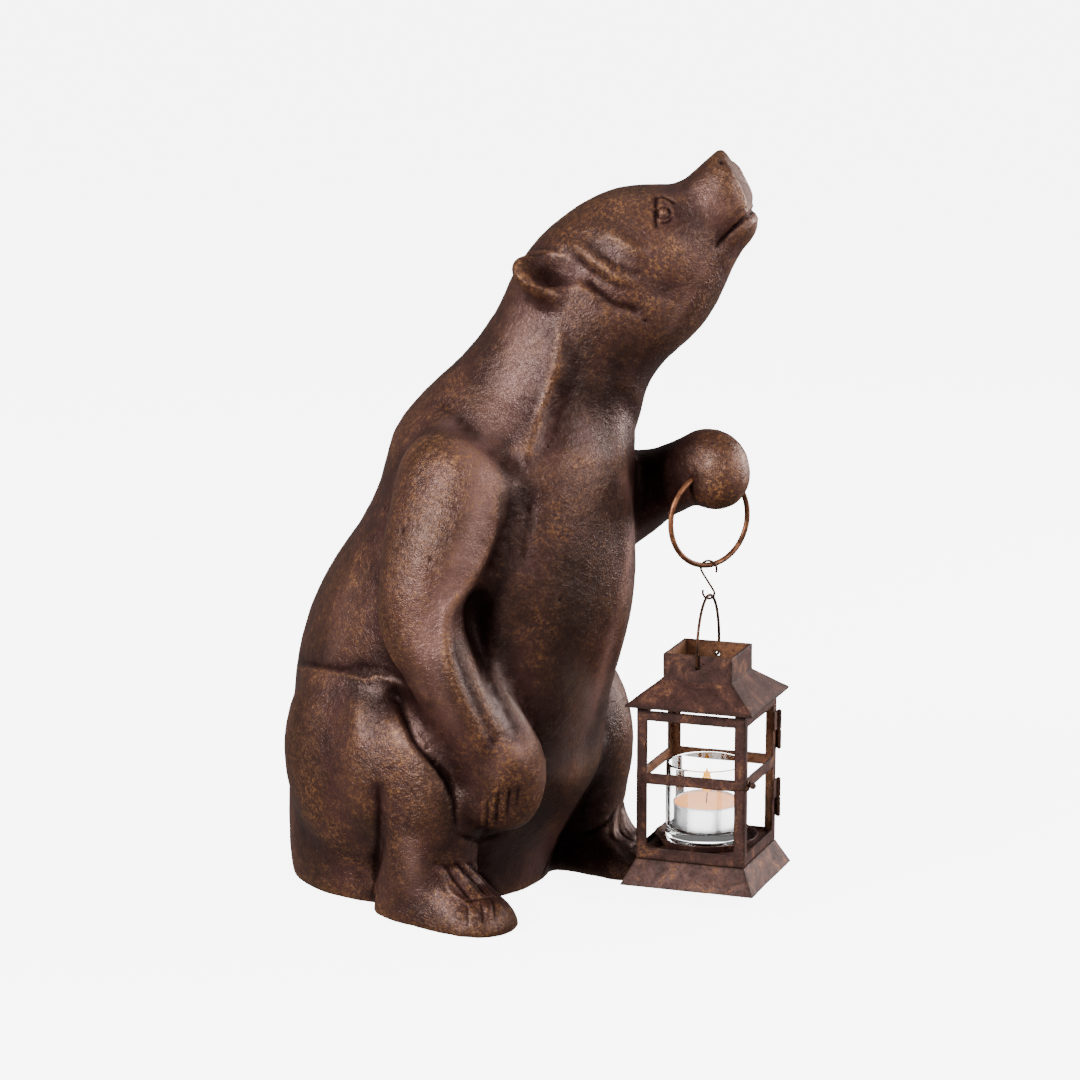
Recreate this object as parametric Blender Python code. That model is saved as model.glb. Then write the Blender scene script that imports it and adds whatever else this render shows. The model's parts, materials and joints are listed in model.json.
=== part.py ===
"""A seated bear cast in aluminium, holding a small candle lantern that hangs from a ring in its paw.

Metres, +Z up. +X is the way the body faces, +Y is the bear's left.
The origin is on the floor, under the middle of the seat.
The figure's own stations are written in millimetres of a figure DESIGN_HEIGHT tall,
and share() turns them into metres of the real one.
"""
import math

import bmesh
import bpy
import numpy as np
from mathutils import Matrix, Vector
from mathutils.bvhtree import BVHTree

MM = 0.001

# Figure
BEAR_HEIGHT = 427 * MM
DESIGN_HEIGHT = 427
VOXEL = 2.1 * MM
BEAR_TRIANGLES = 5750

# Fits
GAP = 0.3 * MM
OVERSHOOT = 10 * MM

# Ring, hook and bail
RING_DIAMETER = 55 * MM
RING_WIRE = 3.2 * MM
RING_TURN = math.radians(71)
HOOK_WIRE = 1.4 * MM
HOOK_REACH = 18.6 * MM
HOOK_UPPER_RADIUS = 4.6 * MM
HOOK_LOWER_RADIUS = 3.4 * MM
BAIL_WIRE = 1.8 * MM
BAIL_HEIGHT = 37.3 * MM
BAIL_PIN = 4 * MM
PIN_CLEARANCE = 0.4 * MM

# Lantern
LANTERN_CLEARANCE = 14.6 * MM
LANTERN_TURN = math.radians(18.5)
SHEET = 1.2 * MM
BASE_SIDE = 77 * MM
BASE_HEIGHT = 14 * MM
BASE_LIP = 0.2 * MM
FRAME_SIDE = 62.3 * MM
POST_WIDTH = 6 * MM
BOTTOM_RAIL = 6.8 * MM
LOWER_WINDOW = 36.6 * MM
MIDDLE_RAIL = 6.2 * MM
UPPER_WINDOW = 29.8 * MM
TOP_RAIL = 5.6 * MM
ROOF_SLIT = 3.5 * MM
ROOF_SIDE = 73 * MM
ROOF_RISE = 12.6 * MM
COLLAR_SIDE = 39.4 * MM
COLLAR_HEIGHT = 14.3 * MM
FLOOR_HEIGHT = 5 * MM

# Door and its hinges
HINGE_HEIGHT = 22 * MM
HINGE_LEAF = 7 * MM
LEAF_THICKNESS = 0.7 * MM
KNUCKLE_RADIUS = 1.3 * MM
HINGE_PIN_RADIUS = 0.5 * MM
HINGE_PIN_HEADS = 1.2 * MM
LEAF_SHARE = 0.4
KNOB_RADIUS = 1.9 * MM
KNOB_STEM = 1.6 * MM
KNOB_STEM_RADIUS = 0.9 * MM
LOOP_WIRE = 1 * MM
LOOP_DROP = 1 * MM

# Dish, glass and candle
DISH_DIAMETER = 58 * MM
DISH_HEIGHT = 4.2 * MM
DISH_WALL = 1 * MM
GLASS_DIAMETER = 45.6 * MM
GLASS_HEIGHT = 44 * MM
GLASS_WALL = 2.2 * MM
GLASS_BOTTOM = 7 * MM
CANDLE_DIAMETER = 38 * MM
CANDLE_HEIGHT = 14 * MM
CANDLE_CUP_WALL = 0.6 * MM
WAX_DROP = 1.2 * MM
WICK_DIAMETER = 1.4 * MM
WICK_HEIGHT = 5 * MM

ROUND_SIDES = 32
WIRE_SIDES = 8

# Levels of the lantern above its own bottom edge
FRAME_FOOT = BASE_HEIGHT + GAP
EAVE_LEVEL = (BASE_HEIGHT + BOTTOM_RAIL + LOWER_WINDOW + MIDDLE_RAIL + UPPER_WINDOW
              + TOP_RAIL + ROOF_SLIT)
COLLAR_FOOT = EAVE_LEVEL + ROOF_RISE
LANTERN_HEIGHT = COLLAR_FOOT + COLLAR_HEIGHT
PIVOT_LEVEL = LANTERN_HEIGHT - COLLAR_HEIGHT / 2
FLOOR_TOP = BASE_HEIGHT + FLOOR_HEIGHT
DISH_FOOT = FLOOR_TOP + GAP
GLASS_FOOT = DISH_FOOT + DISH_WALL + GAP
CANDLE_FOOT = GLASS_FOOT + GLASS_BOTTOM + GAP

# Levels of the hanging chain above the floor
PIVOT_HEIGHT = LANTERN_CLEARANCE + PIVOT_LEVEL
BAIL_TOP = PIVOT_HEIGHT + BAIL_HEIGHT
RING_INNER_BOTTOM = BAIL_TOP + HOOK_REACH
RING_CENTRE_HEIGHT = RING_INNER_BOTTOM + RING_DIAMETER / 2 - RING_WIRE

HALF_FRAME = FRAME_SIDE / 2


def share(*design):
    """Design millimetres of the figure, in metres."""
    scale = BEAR_HEIGHT / DESIGN_HEIGHT
    return Vector([value * scale for value in design])


CHAIN_PLACE = share(159.3, 54.1, 0)


# Scene and mesh helpers

def clear_scene():
    for item in list(bpy.data.objects):
        bpy.data.objects.remove(item, do_unlink=True)


def material(name, colour, roughness, metallic=0.0, see_through=0.0):
    made = bpy.data.materials.new(name)
    made.use_nodes = True
    shader = made.node_tree.nodes["Principled BSDF"]
    shader.inputs["Base Color"].default_value = (*colour, 1)
    shader.inputs["Roughness"].default_value = roughness
    shader.inputs["Metallic"].default_value = metallic
    shader.inputs["Transmission Weight"].default_value = see_through
    made.diffuse_color = (*colour, 1)
    return made


def add(name, data, finish):
    item = bpy.data.objects.new(name, data)
    bpy.context.scene.collection.objects.link(item)
    data.materials.append(finish)
    return item


def add_mesh(name, bm, finish, smooth_angle=40):
    bmesh.ops.recalc_face_normals(bm, faces=bm.faces[:])
    mesh = bpy.data.meshes.new(name)
    bm.to_mesh(mesh)
    bm.free()
    mesh.shade_smooth()
    mesh.set_sharp_from_angle(angle=math.radians(smooth_angle))
    return add(name, mesh, finish)


def add_box(bm, low, high):
    """A box between two corners."""
    low, high = Vector(low), Vector(high)
    place = Matrix.Translation((low + high) / 2) @ Matrix.Diagonal((*(high - low), 1))
    bmesh.ops.create_cube(bm, size=1, matrix=place)


def box(name, low, high, finish):
    bm = bmesh.new()
    add_box(bm, low, high)
    return add_mesh(name, bm, finish)


def turned(name, profile, finish, sides=ROUND_SIDES, closed=False):
    """A profile of (radius, height) points turned round Z; four sides make a square piece."""
    bm = bmesh.new()
    corner = math.sqrt(2) if sides == 4 else 1
    start = math.pi / 4 if sides == 4 else 0
    points = [bm.verts.new((r * corner * math.cos(start), r * corner * math.sin(start), z))
              for r, z in profile]
    pairs = list(zip(points, points[1:]))
    if closed:
        pairs.append((points[-1], points[0]))
    edges = [bm.edges.new(pair) for pair in pairs]
    bmesh.ops.spin(bm, geom=points + edges, cent=(0, 0, 0), axis=(0, 0, 1),
                   angle=math.tau, steps=sides, use_merge=True)
    bmesh.ops.remove_doubles(bm, verts=bm.verts[:], dist=0.01 * MM)
    return add_mesh(name, bm, finish)


def wire(name, points, diameter, finish):
    """A bent round wire through the points."""
    curve = bpy.data.curves.new(name, "CURVE")
    curve.dimensions = "3D"
    curve.bevel_depth = diameter / 2
    curve.bevel_resolution = WIRE_SIDES // 4
    curve.use_fill_caps = True
    spline = curve.splines.new("POLY")
    spline.points.add(len(points) - 1)
    for slot, point in zip(spline.points, points):
        slot.co = (*point, 1)
    return add(name, curve, finish)


def arc(radius, start, end, steps, centre=(0, 0)):
    """Points on an arc, angles in degrees."""
    angles = [math.radians(start + (end - start) * i / steps) for i in range(steps + 1)]
    return [(centre[0] + radius * math.cos(a), centre[1] + radius * math.sin(a)) for a in angles]


def cut(item, cutter, operation="DIFFERENCE"):
    modifier = item.modifiers.new(cutter.name, "BOOLEAN")
    modifier.operation = operation
    modifier.solver = "EXACT"
    modifier.object = cutter
    cutter.hide_render = True
    cutter.display_type = "WIRE"


def apply_modifiers(item):
    depsgraph = bpy.context.evaluated_depsgraph_get()
    mesh = bpy.data.meshes.new_from_object(item.evaluated_get(depsgraph))
    item.modifiers.clear()
    old = item.data
    item.data = mesh
    bpy.data.meshes.remove(old)


def hang_on(item, parent, origin=(0, 0, 0)):
    """Ride on a parent empty that stands at origin, in the mesh's own coordinates."""
    item.parent = parent
    item.location = -Vector(origin)


# Forms of the figure

def smooth_stations(stations, steps):
    """Catmull-Rom curve through rows of numbers."""
    rows = np.array(stations, float)
    padded = np.vstack([2 * rows[0] - rows[1], rows, 2 * rows[-1] - rows[-2]])
    result = []
    for i in range(1, len(padded) - 2):
        before, here, there, after = padded[i - 1:i + 3]
        for step in range(steps):
            t = step / steps
            result.append(0.5 * (2 * here + (there - before) * t
                                 + (2 * before - 5 * here + 4 * there - after) * t ** 2
                                 + (3 * here - before - 3 * there + after) * t ** 3))
    result.append(rows[-1])
    return result


def skin_rings(bm, rings, sides=32):
    """Bridge elliptical rings, each a centre and two half axes, into a closed form."""
    loops = []
    for ring in rings:
        centre, u, v = (Vector(ring[i:i + 3]) for i in (0, 3, 6))
        loops.append([bm.verts.new(share(*(centre + u * math.cos(a) + v * math.sin(a))))
                      for a in (math.tau * k / sides for k in range(sides))])
    for lower, upper in zip(loops, loops[1:]):
        for k in range(sides):
            after = (k + 1) % sides
            bm.faces.new((lower[k], lower[after], upper[after], upper[k]))
    bm.faces.new(loops[0][::-1])
    bm.faces.new(loops[-1])


def trunk_row(x, y, z, depth, width, tilt=0, yaw=0):
    """A section of the trunk, neck or head; tilt lowers its front, yaw turns it left."""
    tilt, yaw = math.radians(tilt), math.radians(yaw)
    u = (depth * math.cos(yaw) * math.cos(tilt), depth * math.sin(yaw) * math.cos(tilt),
         -depth * math.sin(tilt))
    v = (-width * math.sin(yaw), width * math.cos(yaw), 0)
    return (x, y, z, *u, *v)


def limb(bm, path, toward=(1, 0, 0), steps=5):
    """A rounded limb; each point is x, y, z, its half size toward a direction, and across it."""
    toward = Vector(toward)
    rows = [np.array(row) for row in smooth_stations(path, steps)]
    rings = []
    for i, row in enumerate(rows):
        ahead = Vector(rows[min(i + 1, len(rows) - 1)][:3] - rows[max(i - 1, 0)][:3]).normalized()
        u = (toward - ahead * toward.dot(ahead)).normalized()
        v = ahead.cross(u)
        rings.append((Vector(row[:3]), ahead, u * row[3], v * row[4]))
    shaped = []
    ends = ((rings[0], -1), (rings[-1], 1))
    caps = []
    for (centre, ahead, u, v), way in ends:
        reach = min(u.length, v.length)
        caps.append([(*(centre + ahead * way * reach * math.sin(a)), *(u * math.cos(a)),
                      *(v * math.cos(a))) for a in (0.35, 0.7, 1.05, 1.4)])
    shaped += caps[0][::-1]
    shaped += [(*centre, *u, *v) for centre, ahead, u, v in rings]
    shaped += caps[1]
    skin_rings(bm, shaped)


def rotation(turn):
    """Turned by degrees about X, then Y, then Z."""
    about_x, about_y, about_z = (Matrix.Rotation(math.radians(angle), 3, axis)
                                 for angle, axis in zip(turn, "XYZ"))
    return about_z @ about_y @ about_x


def ellipsoid(bm, centre, half, turn=(0, 0, 0)):
    """An ellipsoid; turn is degrees about X, Y and Z."""
    place = Matrix.Translation(share(*centre)) @ rotation(turn).to_4x4()
    place = place @ Matrix.Diagonal((*share(*half), 1))
    bmesh.ops.create_uvsphere(bm, u_segments=32, v_segments=20, radius=1, matrix=place)


TRUNK = [
    trunk_row(-3, 0, -14, 73, 74),
    trunk_row(-2, 0, 20, 78, 77),
    trunk_row(7, 0, 50, 88, 79),
    trunk_row(14, 0, 73, 95, 80),
    trunk_row(16, 0, 97, 93, 81),
    trunk_row(26, 0, 138, 97, 81),
    trunk_row(40, 0, 177, 93, 77),
    trunk_row(57, 0, 222, 77, 66),
    trunk_row(64, 4, 262, 68.5, 59, 6, 4),
    trunk_row(80, 15, 291, 51.5, 46.5, 19, 10),
    trunk_row(91.4, 22.7, 315, 48, 44, 19, 16),
    trunk_row(105.2, 32.5, 338, 53.2, 44, 20, 22),
    trunk_row(119.5, 41, 358.5, 49.5, 40, 27, 28),
    trunk_row(135, 49.5, 373.5, 40, 34.5, 38, 28),
    trunk_row(153, 59, 383, 26.5, 23.5, 47, 28),
    trunk_row(163, 64.5, 393, 25, 20.5, 55, 28),
    trunk_row(168.5, 68, 402, 23.5, 18.5, 62, 28),
]
HEAD_MIDDLE = (134, 49, 375)
HEAD_YAW = 28
EARS = (((95, -14, 352), (-39, -44, -3)), ((64, 55, 352), (39, -44, 59)))
EAR_HALF = (9.5, 20, 15)
EAR_BOWL = 0.86
EAR_DEPTH = 7.5
RIGHT_ARM = [
    (68, -54, 246, 36, 27),
    (68, -72, 208, 32, 25),
    (66, -80, 170, 26, 23),
    (81, -74, 140, 24, 22),
    (97, -65, 114, 23, 21),
    (104, -58, 92, 25, 22),
    (101, -56, 74, 23, 21),
]
LEFT_ARM = [
    (60, 50, 234, 33, 26),
    (84, 62, 219, 31, 26),
    (118, 62, 231, 21, 19),
    (146, 59, 243.5, 20, 16),
]
# The raised paw's points stand from its own place, level with the top of the ring
RAISED_PAW = (163.5, 57)
LEFT_PAW = [
    (-14, 1, 2.5, 21, 16),
    (-4, 0, 0.5, 23.5, 17),
    (0.5, 0, -6.5, 20.5, 16.5),
]
HAUNCH = ((8, 50, 80), (61, 44.5, 69))
THIGH = ((36, 57, 82), (46, 44, 50))
LEG = [
    (20, 58, 92, 42, 34),
    (46, 63, 98, 40, 34),
    (59, 66, 76, 35, 31),
    (59, 68, 44, 28, 27),
    (57, 68, 20, 28, 25),
]
FOOT_Y = 68
FOOT = [
    (46, 66, 4, 34, 24.5),
    (74, FOOT_Y, 2, 32, 24),
    (95.5, FOOT_Y, 0, 22, 23.5),
]

# Smoothing passes of the joined forms, and the level where the neck becomes the head
BODY_SMOOTHING = 30
HEAD_SMOOTHING = 8
NECK_LEVEL = 325
NECK_BLEND = 30

# The eye point and frame that the carved lines are drawn in, in design millimetres and pixels
VIEW_AZIMUTH = math.radians(40)
VIEW_TURN = math.radians(38.17)
VIEW_DROP = math.radians(11.67)
VIEW_DISTANCE = 2050
VIEW_HEIGHT = 617
VIEW_FOCAL = 3691
VIEW_MIDDLE = 540

# Grooves: pixels along the line, depth and half width in design millimetres, and how it repeats
GROOVES = (
    (((440, 402), (455, 414), (470, 432), (490, 450), (512, 466)), 2.4, 7, "body"),
    (((560, 388), (549, 418), (535, 458)), 1.6, 5, "body"),
    (((475, 604), (479, 636), (490, 670), (504, 702), (518, 726)), 5.5, 8, "once"),
    (((377, 793), (380, 841), (376, 871), (371, 904)), 2.6, 4.5, "body"),
    (((396, 695), (419, 728), (440, 757), (456, 786)), 3.8, 5, "once"),
    (((300, 661), (345, 669), (378, 667), (404, 676)), 1.4, 5, "body"),
    (((568, 252), (597, 274), (621, 287)), 1.2, 4, "head"),
    (((590, 283), (611, 301), (636, 310)), 2.2, 4, "head"),
    (((753, 210), (741, 222), (728, 234), (718, 246)), 2.6, 2.8, "head"),
    (((497, 800), (496, 828)), 2.0, 2.4, "once"),
    (((507, 794), (508, 824)), 2.0, 2.4, "once"),
    (((517, 790), (518, 814)), 1.8, 2.2, "once"),
    (((531, 500), (524, 560)), 1.2, 6, "once"),
)
RIDGES = (
    (((300, 670), (355, 679), (380, 677), (404, 685)), 2.0, 6, "body"),
    (((556, 372), (543, 412), (527, 452)), 1.8, 6, "body"),
    (((576, 247), (604, 268), (624, 280)), 2.0, 5, "head"),
    (((608, 233), (628, 246), (643, 254)), 1.6, 5, "head"),
    (((727, 168), (738, 184), (746, 202)), 1.2, 3, "head"),
    (((500, 492), (489, 543), (466, 588), (447, 616), (450, 668), (468, 713), (482, 746)), 2.2, 6, "once"),
    (((620, 430), (625, 500), (626, 580), (618, 650)), 1.6, 7, "once"),
)
EYE = (663, 211)
EYE_RADIUS = 3.2
EYE_BULGE = 1.4
SOCKET_DEPTH = 1.5
TOE_DROP = 40
TOE_SPREAD = ((91, 6.6), (97, 7.2), (103, 7.8), (107, 8.2))
TOE_GAP_DEPTH = 2.6
TOE_GAP_HALF_WIDTH = 2.6
DIMPLES = (((665, 290), 1.6, 7), ((722, 163), 2.2, 3), ((673, 186), 1.4, 9))


def sight(pixel):
    """Direction from the eye point through a pixel."""
    ahead = Vector((-math.sin(VIEW_TURN) * math.cos(VIEW_DROP),
                    math.cos(VIEW_TURN) * math.cos(VIEW_DROP), -math.sin(VIEW_DROP)))
    right = Vector((math.cos(VIEW_TURN), math.sin(VIEW_TURN), 0))
    up = right.cross(ahead)
    across, down = ((value - VIEW_MIDDLE) / VIEW_FOCAL for value in pixel)
    return (ahead + right * across - up * down).normalized()


def touch(tree, pixel):
    """The point of the surface seen at a pixel, or the one nearest to that line of sight."""
    eye = share(VIEW_DISTANCE * math.sin(VIEW_AZIMUTH), -VIEW_DISTANCE * math.cos(VIEW_AZIMUTH),
                VIEW_HEIGHT)
    way = sight(pixel)
    hit = tree.ray_cast(eye, way)[0]
    if hit is None:
        passing = eye + way * (share(*HEAD_MIDDLE) - eye).dot(way)
        hit = tree.find_nearest(passing)[0]
    return hit


def mirrored(tree, points, kind):
    """The same line on the other side of the body or of the turned head."""
    yaw = math.radians(HEAD_YAW) if kind == "head" else 0
    middle = share(*HEAD_MIDDLE) if kind == "head" else Vector()
    across = Vector((-math.sin(yaw), math.cos(yaw), 0))
    return [tree.find_nearest(p - across * 2 * (p - middle).dot(across))[0] for p in points]


def curve_through(pixels, steps=5):
    return [tuple(row) for row in smooth_stations(pixels, steps)]


def distance_to(places, line):
    """Distance from each place to a polyline."""
    best = np.full(len(places), np.inf)
    for start, end in zip(line, line[1:]):
        start, end = np.array(start), np.array(end)
        along = end - start
        t = np.clip((places - start) @ along / max(along @ along, 1e-12), 0, 1)
        best = np.minimum(best, np.linalg.norm(places - start - t[:, None] * along, axis=1))
    return best


def toe_lines(tree):
    """Grooves between the five toes of both feet, dropped onto the top of the foot."""
    for side in (-1, 1):
        for k in (-1.5, -0.5, 0.5, 1.5):
            line = [(x, (FOOT_Y + k * spread) * side, TOE_DROP) for x, spread in TOE_SPREAD]
            hits = [tree.ray_cast(share(*point), Vector((0, 0, -1)))[0] for point in line]
            yield [hit for hit in hits if hit is not None]


def smooth_skin(places, edges, passes):
    """Move each point towards the middle of its neighbours, passes times."""
    count = len(places)
    sharing = np.bincount(edges.ravel(), minlength=count)[:, None]
    for _ in range(passes):
        total = np.zeros_like(places)
        for k in range(3):
            total[:, k] = (np.bincount(edges[:, 0], places[edges[:, 1], k], count)
                           + np.bincount(edges[:, 1], places[edges[:, 0], k], count))
        places = places + 0.5 * (total / sharing - places)
    return places


def carve(item):
    """Soften the joined forms, then press in the grooves and raise the ridges."""
    mm = BEAR_HEIGHT / DESIGN_HEIGHT
    mesh = item.data
    places = np.empty(len(mesh.vertices) * 3)
    mesh.vertices.foreach_get("co", places)
    places = places.reshape(-1, 3)
    edges = np.empty(len(mesh.edges) * 2, dtype=np.int64)
    mesh.edges.foreach_get("vertices", edges)
    edges = edges.reshape(-1, 2)
    soft = smooth_skin(places, edges, BODY_SMOOTHING)
    firm = smooth_skin(places, edges, HEAD_SMOOTHING)
    head = np.clip((places[:, 2] / mm - NECK_LEVEL) / NECK_BLEND, 0, 1)[:, None]
    places = soft * (1 - head) + firm * head
    mesh.vertices.foreach_set("co", places.ravel())
    mesh.update()
    normals = np.empty(len(mesh.vertices) * 3)
    mesh.vertex_normals.foreach_get("vector", normals)
    normals = normals.reshape(-1, 3)
    tree = BVHTree.FromPolygons([Vector(p) for p in places], [p.vertices[:] for p in mesh.polygons])
    lift = np.zeros(len(places))
    for sign, lines in ((-1, GROOVES), (1, RIDGES)):
        for pixels, depth, half_width, kind in lines:
            line = [touch(tree, pixel) for pixel in curve_through(pixels)]
            copies = [line] if kind == "once" else [line, mirrored(tree, line, kind)]
            for copy in copies:
                near = distance_to(places, copy) / (half_width * mm)
                lift += sign * depth * mm * np.exp(-near ** 2)
    for line in toe_lines(tree):
        near = distance_to(places, line) / (TOE_GAP_HALF_WIDTH * mm)
        lift -= TOE_GAP_DEPTH * mm * np.exp(-near ** 2)
    for pixel, depth, half_width in DIMPLES:
        point = touch(tree, pixel)
        for spot in (point, mirrored(tree, [point], "head")[0]):
            near = np.linalg.norm(places - np.array(spot), axis=1) / (half_width * mm)
            lift -= depth * mm * np.exp(-near ** 2)
    point = touch(tree, EYE)
    for spot in (point, mirrored(tree, [point], "head")[0]):
        near = np.linalg.norm(places - np.array(spot), axis=1) / mm
        lift += mm * (EYE_BULGE * np.exp(-(near / EYE_RADIUS) ** 2)
                      - SOCKET_DEPTH * np.exp(-((near - 2 * EYE_RADIUS) / 2) ** 2))
    places = places + normals * lift[:, None]
    for centre, turn in EARS:
        local = (places / mm - np.array(centre)) @ np.array(rotation(turn))
        spread = np.hypot(local[:, 1] / EAR_HALF[1], local[:, 2] / EAR_HALF[2]) / EAR_BOWL
        inside = (local[:, 0] > 0) & (local[:, 0] < 2 * EAR_HALF[0]) & (spread < 1)
        axis = np.array(rotation(turn) @ Vector((1, 0, 0)))
        places[inside] -= axis * (EAR_DEPTH * mm * (1 - spread[inside, None] ** 2))
    mesh.vertices.foreach_set("co", places.ravel())
    mesh.update()


def body_forms(bm, paw):
    """The solid forms that make up the figure, overlapping freely."""
    skin_rings(bm, smooth_stations(TRUNK, 6), 40)
    for side in (-1, 1):
        for (x, y, z), half in (HAUNCH, THIGH):
            ellipsoid(bm, (x, y * side, z), half)
        for path, toward in ((LEG, (1, 0, 0)), (FOOT, (0, 0, 1))):
            limb(bm, [(x, y * side, z, ahead, across) for x, y, z, ahead, across in path], toward)
    for centre, turn in EARS:
        ellipsoid(bm, centre, EAR_HALF, turn)
    limb(bm, RIGHT_ARM)
    limb(bm, LEFT_ARM, toward=(0, 0, 1))
    limb(bm, [(dx + paw[0], dy + paw[1], dz + paw[2], ahead, across)
              for dx, dy, dz, ahead, across in LEFT_PAW], toward=(1, 0, 0.6))


def flat_underside(item):
    """Cut the figure off flat at the floor."""
    bm = bmesh.new()
    bm.from_mesh(item.data)
    bmesh.ops.bisect_plane(bm, geom=bm.verts[:] + bm.edges[:] + bm.faces[:], dist=0.001 * MM,
                           plane_co=(0, 0, 0), plane_no=(0, 0, 1), clear_inner=True)
    rim = [edge for edge in bm.edges if edge.is_boundary]
    bmesh.ops.contextual_create(bm, geom=rim)
    bmesh.ops.triangulate(bm, faces=bm.faces[:])
    bm.to_mesh(item.data)
    bm.free()


def bear(finish, tunnel):
    """The cast figure, one skin over its forms, with the ring's way through the raised paw."""
    scale = BEAR_HEIGHT / DESIGN_HEIGHT
    ring_top = RING_CENTRE_HEIGHT + RING_DIAMETER / 2
    paw = (RAISED_PAW[0], RAISED_PAW[1], ring_top / scale)
    bm = bmesh.new()
    body_forms(bm, paw)
    item = add_mesh("bear", bm, finish)
    remesh = item.modifiers.new("one_skin", "REMESH")
    remesh.mode = "VOXEL"
    remesh.voxel_size = VOXEL
    apply_modifiers(item)
    carve(item)
    fewer = item.modifiers.new("fewer_faces", "DECIMATE")
    fewer.ratio = BEAR_TRIANGLES / (2 * len(item.data.polygons))
    apply_modifiers(item)
    flat_underside(item)
    item.data.shade_smooth()
    item.data.set_sharp_from_angle(angle=math.radians(60))
    cut(item, tunnel)
    return item


# The hanging chain

def torus(name, diameter, thickness, finish):
    radius = thickness / 2
    profile = [(diameter / 2 - radius + x, z) for x, z in arc(radius, 0, 360, 10)[:-1]]
    return turned(name, profile, finish, sides=40, closed=True)


def stand_ring(item):
    item.rotation_euler = (math.pi / 2, 0, RING_TURN)
    item.location = CHAIN_PLACE + Vector((0, 0, RING_CENTRE_HEIGHT))


def ring(finish):
    item = torus("ring", RING_DIAMETER, RING_WIRE, finish)
    stand_ring(item)


def ring_tunnel(finish):
    """The way that the ring's wire takes through the paw, a gap wider than the wire."""
    item = torus("ring_tunnel", RING_DIAMETER + 2 * GAP, RING_WIRE + 2 * GAP, finish)
    stand_ring(item)
    item.hide_render = True
    item.display_type = "WIRE"
    return item


def s_hook(finish):
    """An S of wire over the ring's lowest point and under the top of the bail."""
    half = HOOK_WIRE / 2
    upper = RING_INNER_BOTTOM + GAP + half - HOOK_UPPER_RADIUS
    lower = BAIL_TOP - BAIL_WIRE / 2 - GAP - half + HOOK_LOWER_RADIUS
    path = arc(HOOK_UPPER_RADIUS, -25, 200, 12, (0, upper))
    path += arc(HOOK_LOWER_RADIUS, 20, -205, 12, (0, lower))
    turn = Matrix.Rotation(LANTERN_TURN, 3, "Z")
    points = [CHAIN_PLACE + turn @ Vector((across, 0, up)) for across, up in path]
    wire("s_hook", points, HOOK_WIRE, finish)


def bail(finish):
    """A wire arch whose two ends turn in through the collar's holes."""
    reach = COLLAR_SIDE / 2 + GAP + BAIL_WIRE / 2
    bend = BAIL_WIRE / 2
    straight = COLLAR_HEIGHT / 2
    inner = reach - BAIL_PIN
    arch = [(reach * math.cos(a), straight + (BAIL_HEIGHT - straight) * math.sin(a))
            for a in (math.pi * k / 20 for k in range(21))]
    path = [(inner, 0), (reach - bend, 0), (reach, bend)] + arch
    path += [(-reach, bend), (-reach + bend, 0), (-inner, 0)]
    turn = Matrix.Rotation(LANTERN_TURN + math.pi / 2, 3, "Z")
    place = CHAIN_PLACE + Vector((0, 0, PIVOT_HEIGHT))
    wire("bail", [place + turn @ Vector((across, 0, up)) for across, up in path], BAIL_WIRE, finish)


# The lantern, drawn round its own axis with its lower edge at zero; the door is on +X

def lantern_roof(finish):
    """A hipped roof with a square collar, open at the top."""
    half_collar, half_roof = COLLAR_SIDE / 2, ROOF_SIDE / 2
    inner = half_collar - SHEET
    profile = [(half_collar, LANTERN_HEIGHT), (half_collar, COLLAR_FOOT), (half_roof, EAVE_LEVEL),
               (half_roof, EAVE_LEVEL - SHEET), (inner, COLLAR_FOOT - SHEET),
               (inner, LANTERN_HEIGHT)]
    item = turned("lantern_roof", profile, finish, sides=4, closed=True)
    holes = bmesh.new()
    turn = Matrix.Translation((0, 0, PIVOT_LEVEL)) @ Matrix.Rotation(math.pi / 2, 4, "X")
    size = BAIL_WIRE / 2 + PIN_CLEARANCE
    bmesh.ops.create_cone(holes, cap_ends=True, segments=12, radius1=size, radius2=size,
                          depth=2 * COLLAR_SIDE, matrix=turn)
    cutter = add_mesh("bail_holes", holes, finish)
    cut(item, cutter)
    return item, cutter


def roof_underside(half):
    """Height of the roof's underside at a distance from the axis."""
    slope = ROOF_RISE / (ROOF_SIDE / 2 - COLLAR_SIDE / 2 + SHEET)
    return EAVE_LEVEL - SHEET + (ROOF_SIDE / 2 - half) * slope


def window_levels():
    """Lower and upper edge of each open stretch of a side."""
    sill = BASE_HEIGHT + BOTTOM_RAIL
    middle = sill + LOWER_WINDOW + MIDDLE_RAIL
    top = middle + UPPER_WINDOW
    slit = top + TOP_RAIL
    return [(sill, sill + LOWER_WINDOW), (middle, top), (slit, slit + 4 * ROOF_SLIT)]


def lantern_frame(finish):
    """Front, left and back of the frame, folded from one sheet; the right side is the door's."""
    h = HALF_FRAME
    over = OVERSHOOT
    top = roof_underside(h) - GAP
    item = box("lantern_frame", (-h, -h, FRAME_FOOT), (h, h, top), finish)
    inside = h - SHEET
    hollow = box("frame_hollow", (-inside, -inside, -over), (h + over, inside, top + over), finish)
    clear = h - POST_WIDTH
    through = bmesh.new()
    sideways = bmesh.new()
    for low, high in window_levels():
        high = min(high, top - SHEET)
        add_box(through, (-clear, -h - over, low), (clear, h + over, high))
        add_box(sideways, (-h - over, -clear, low), (0, clear, high))
    cutters = [hollow, add_mesh("front_and_back_windows", through, finish),
               add_mesh("left_windows", sideways, finish)]
    for cutter in cutters:
        cut(item, cutter)
    return item, cutters


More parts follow.
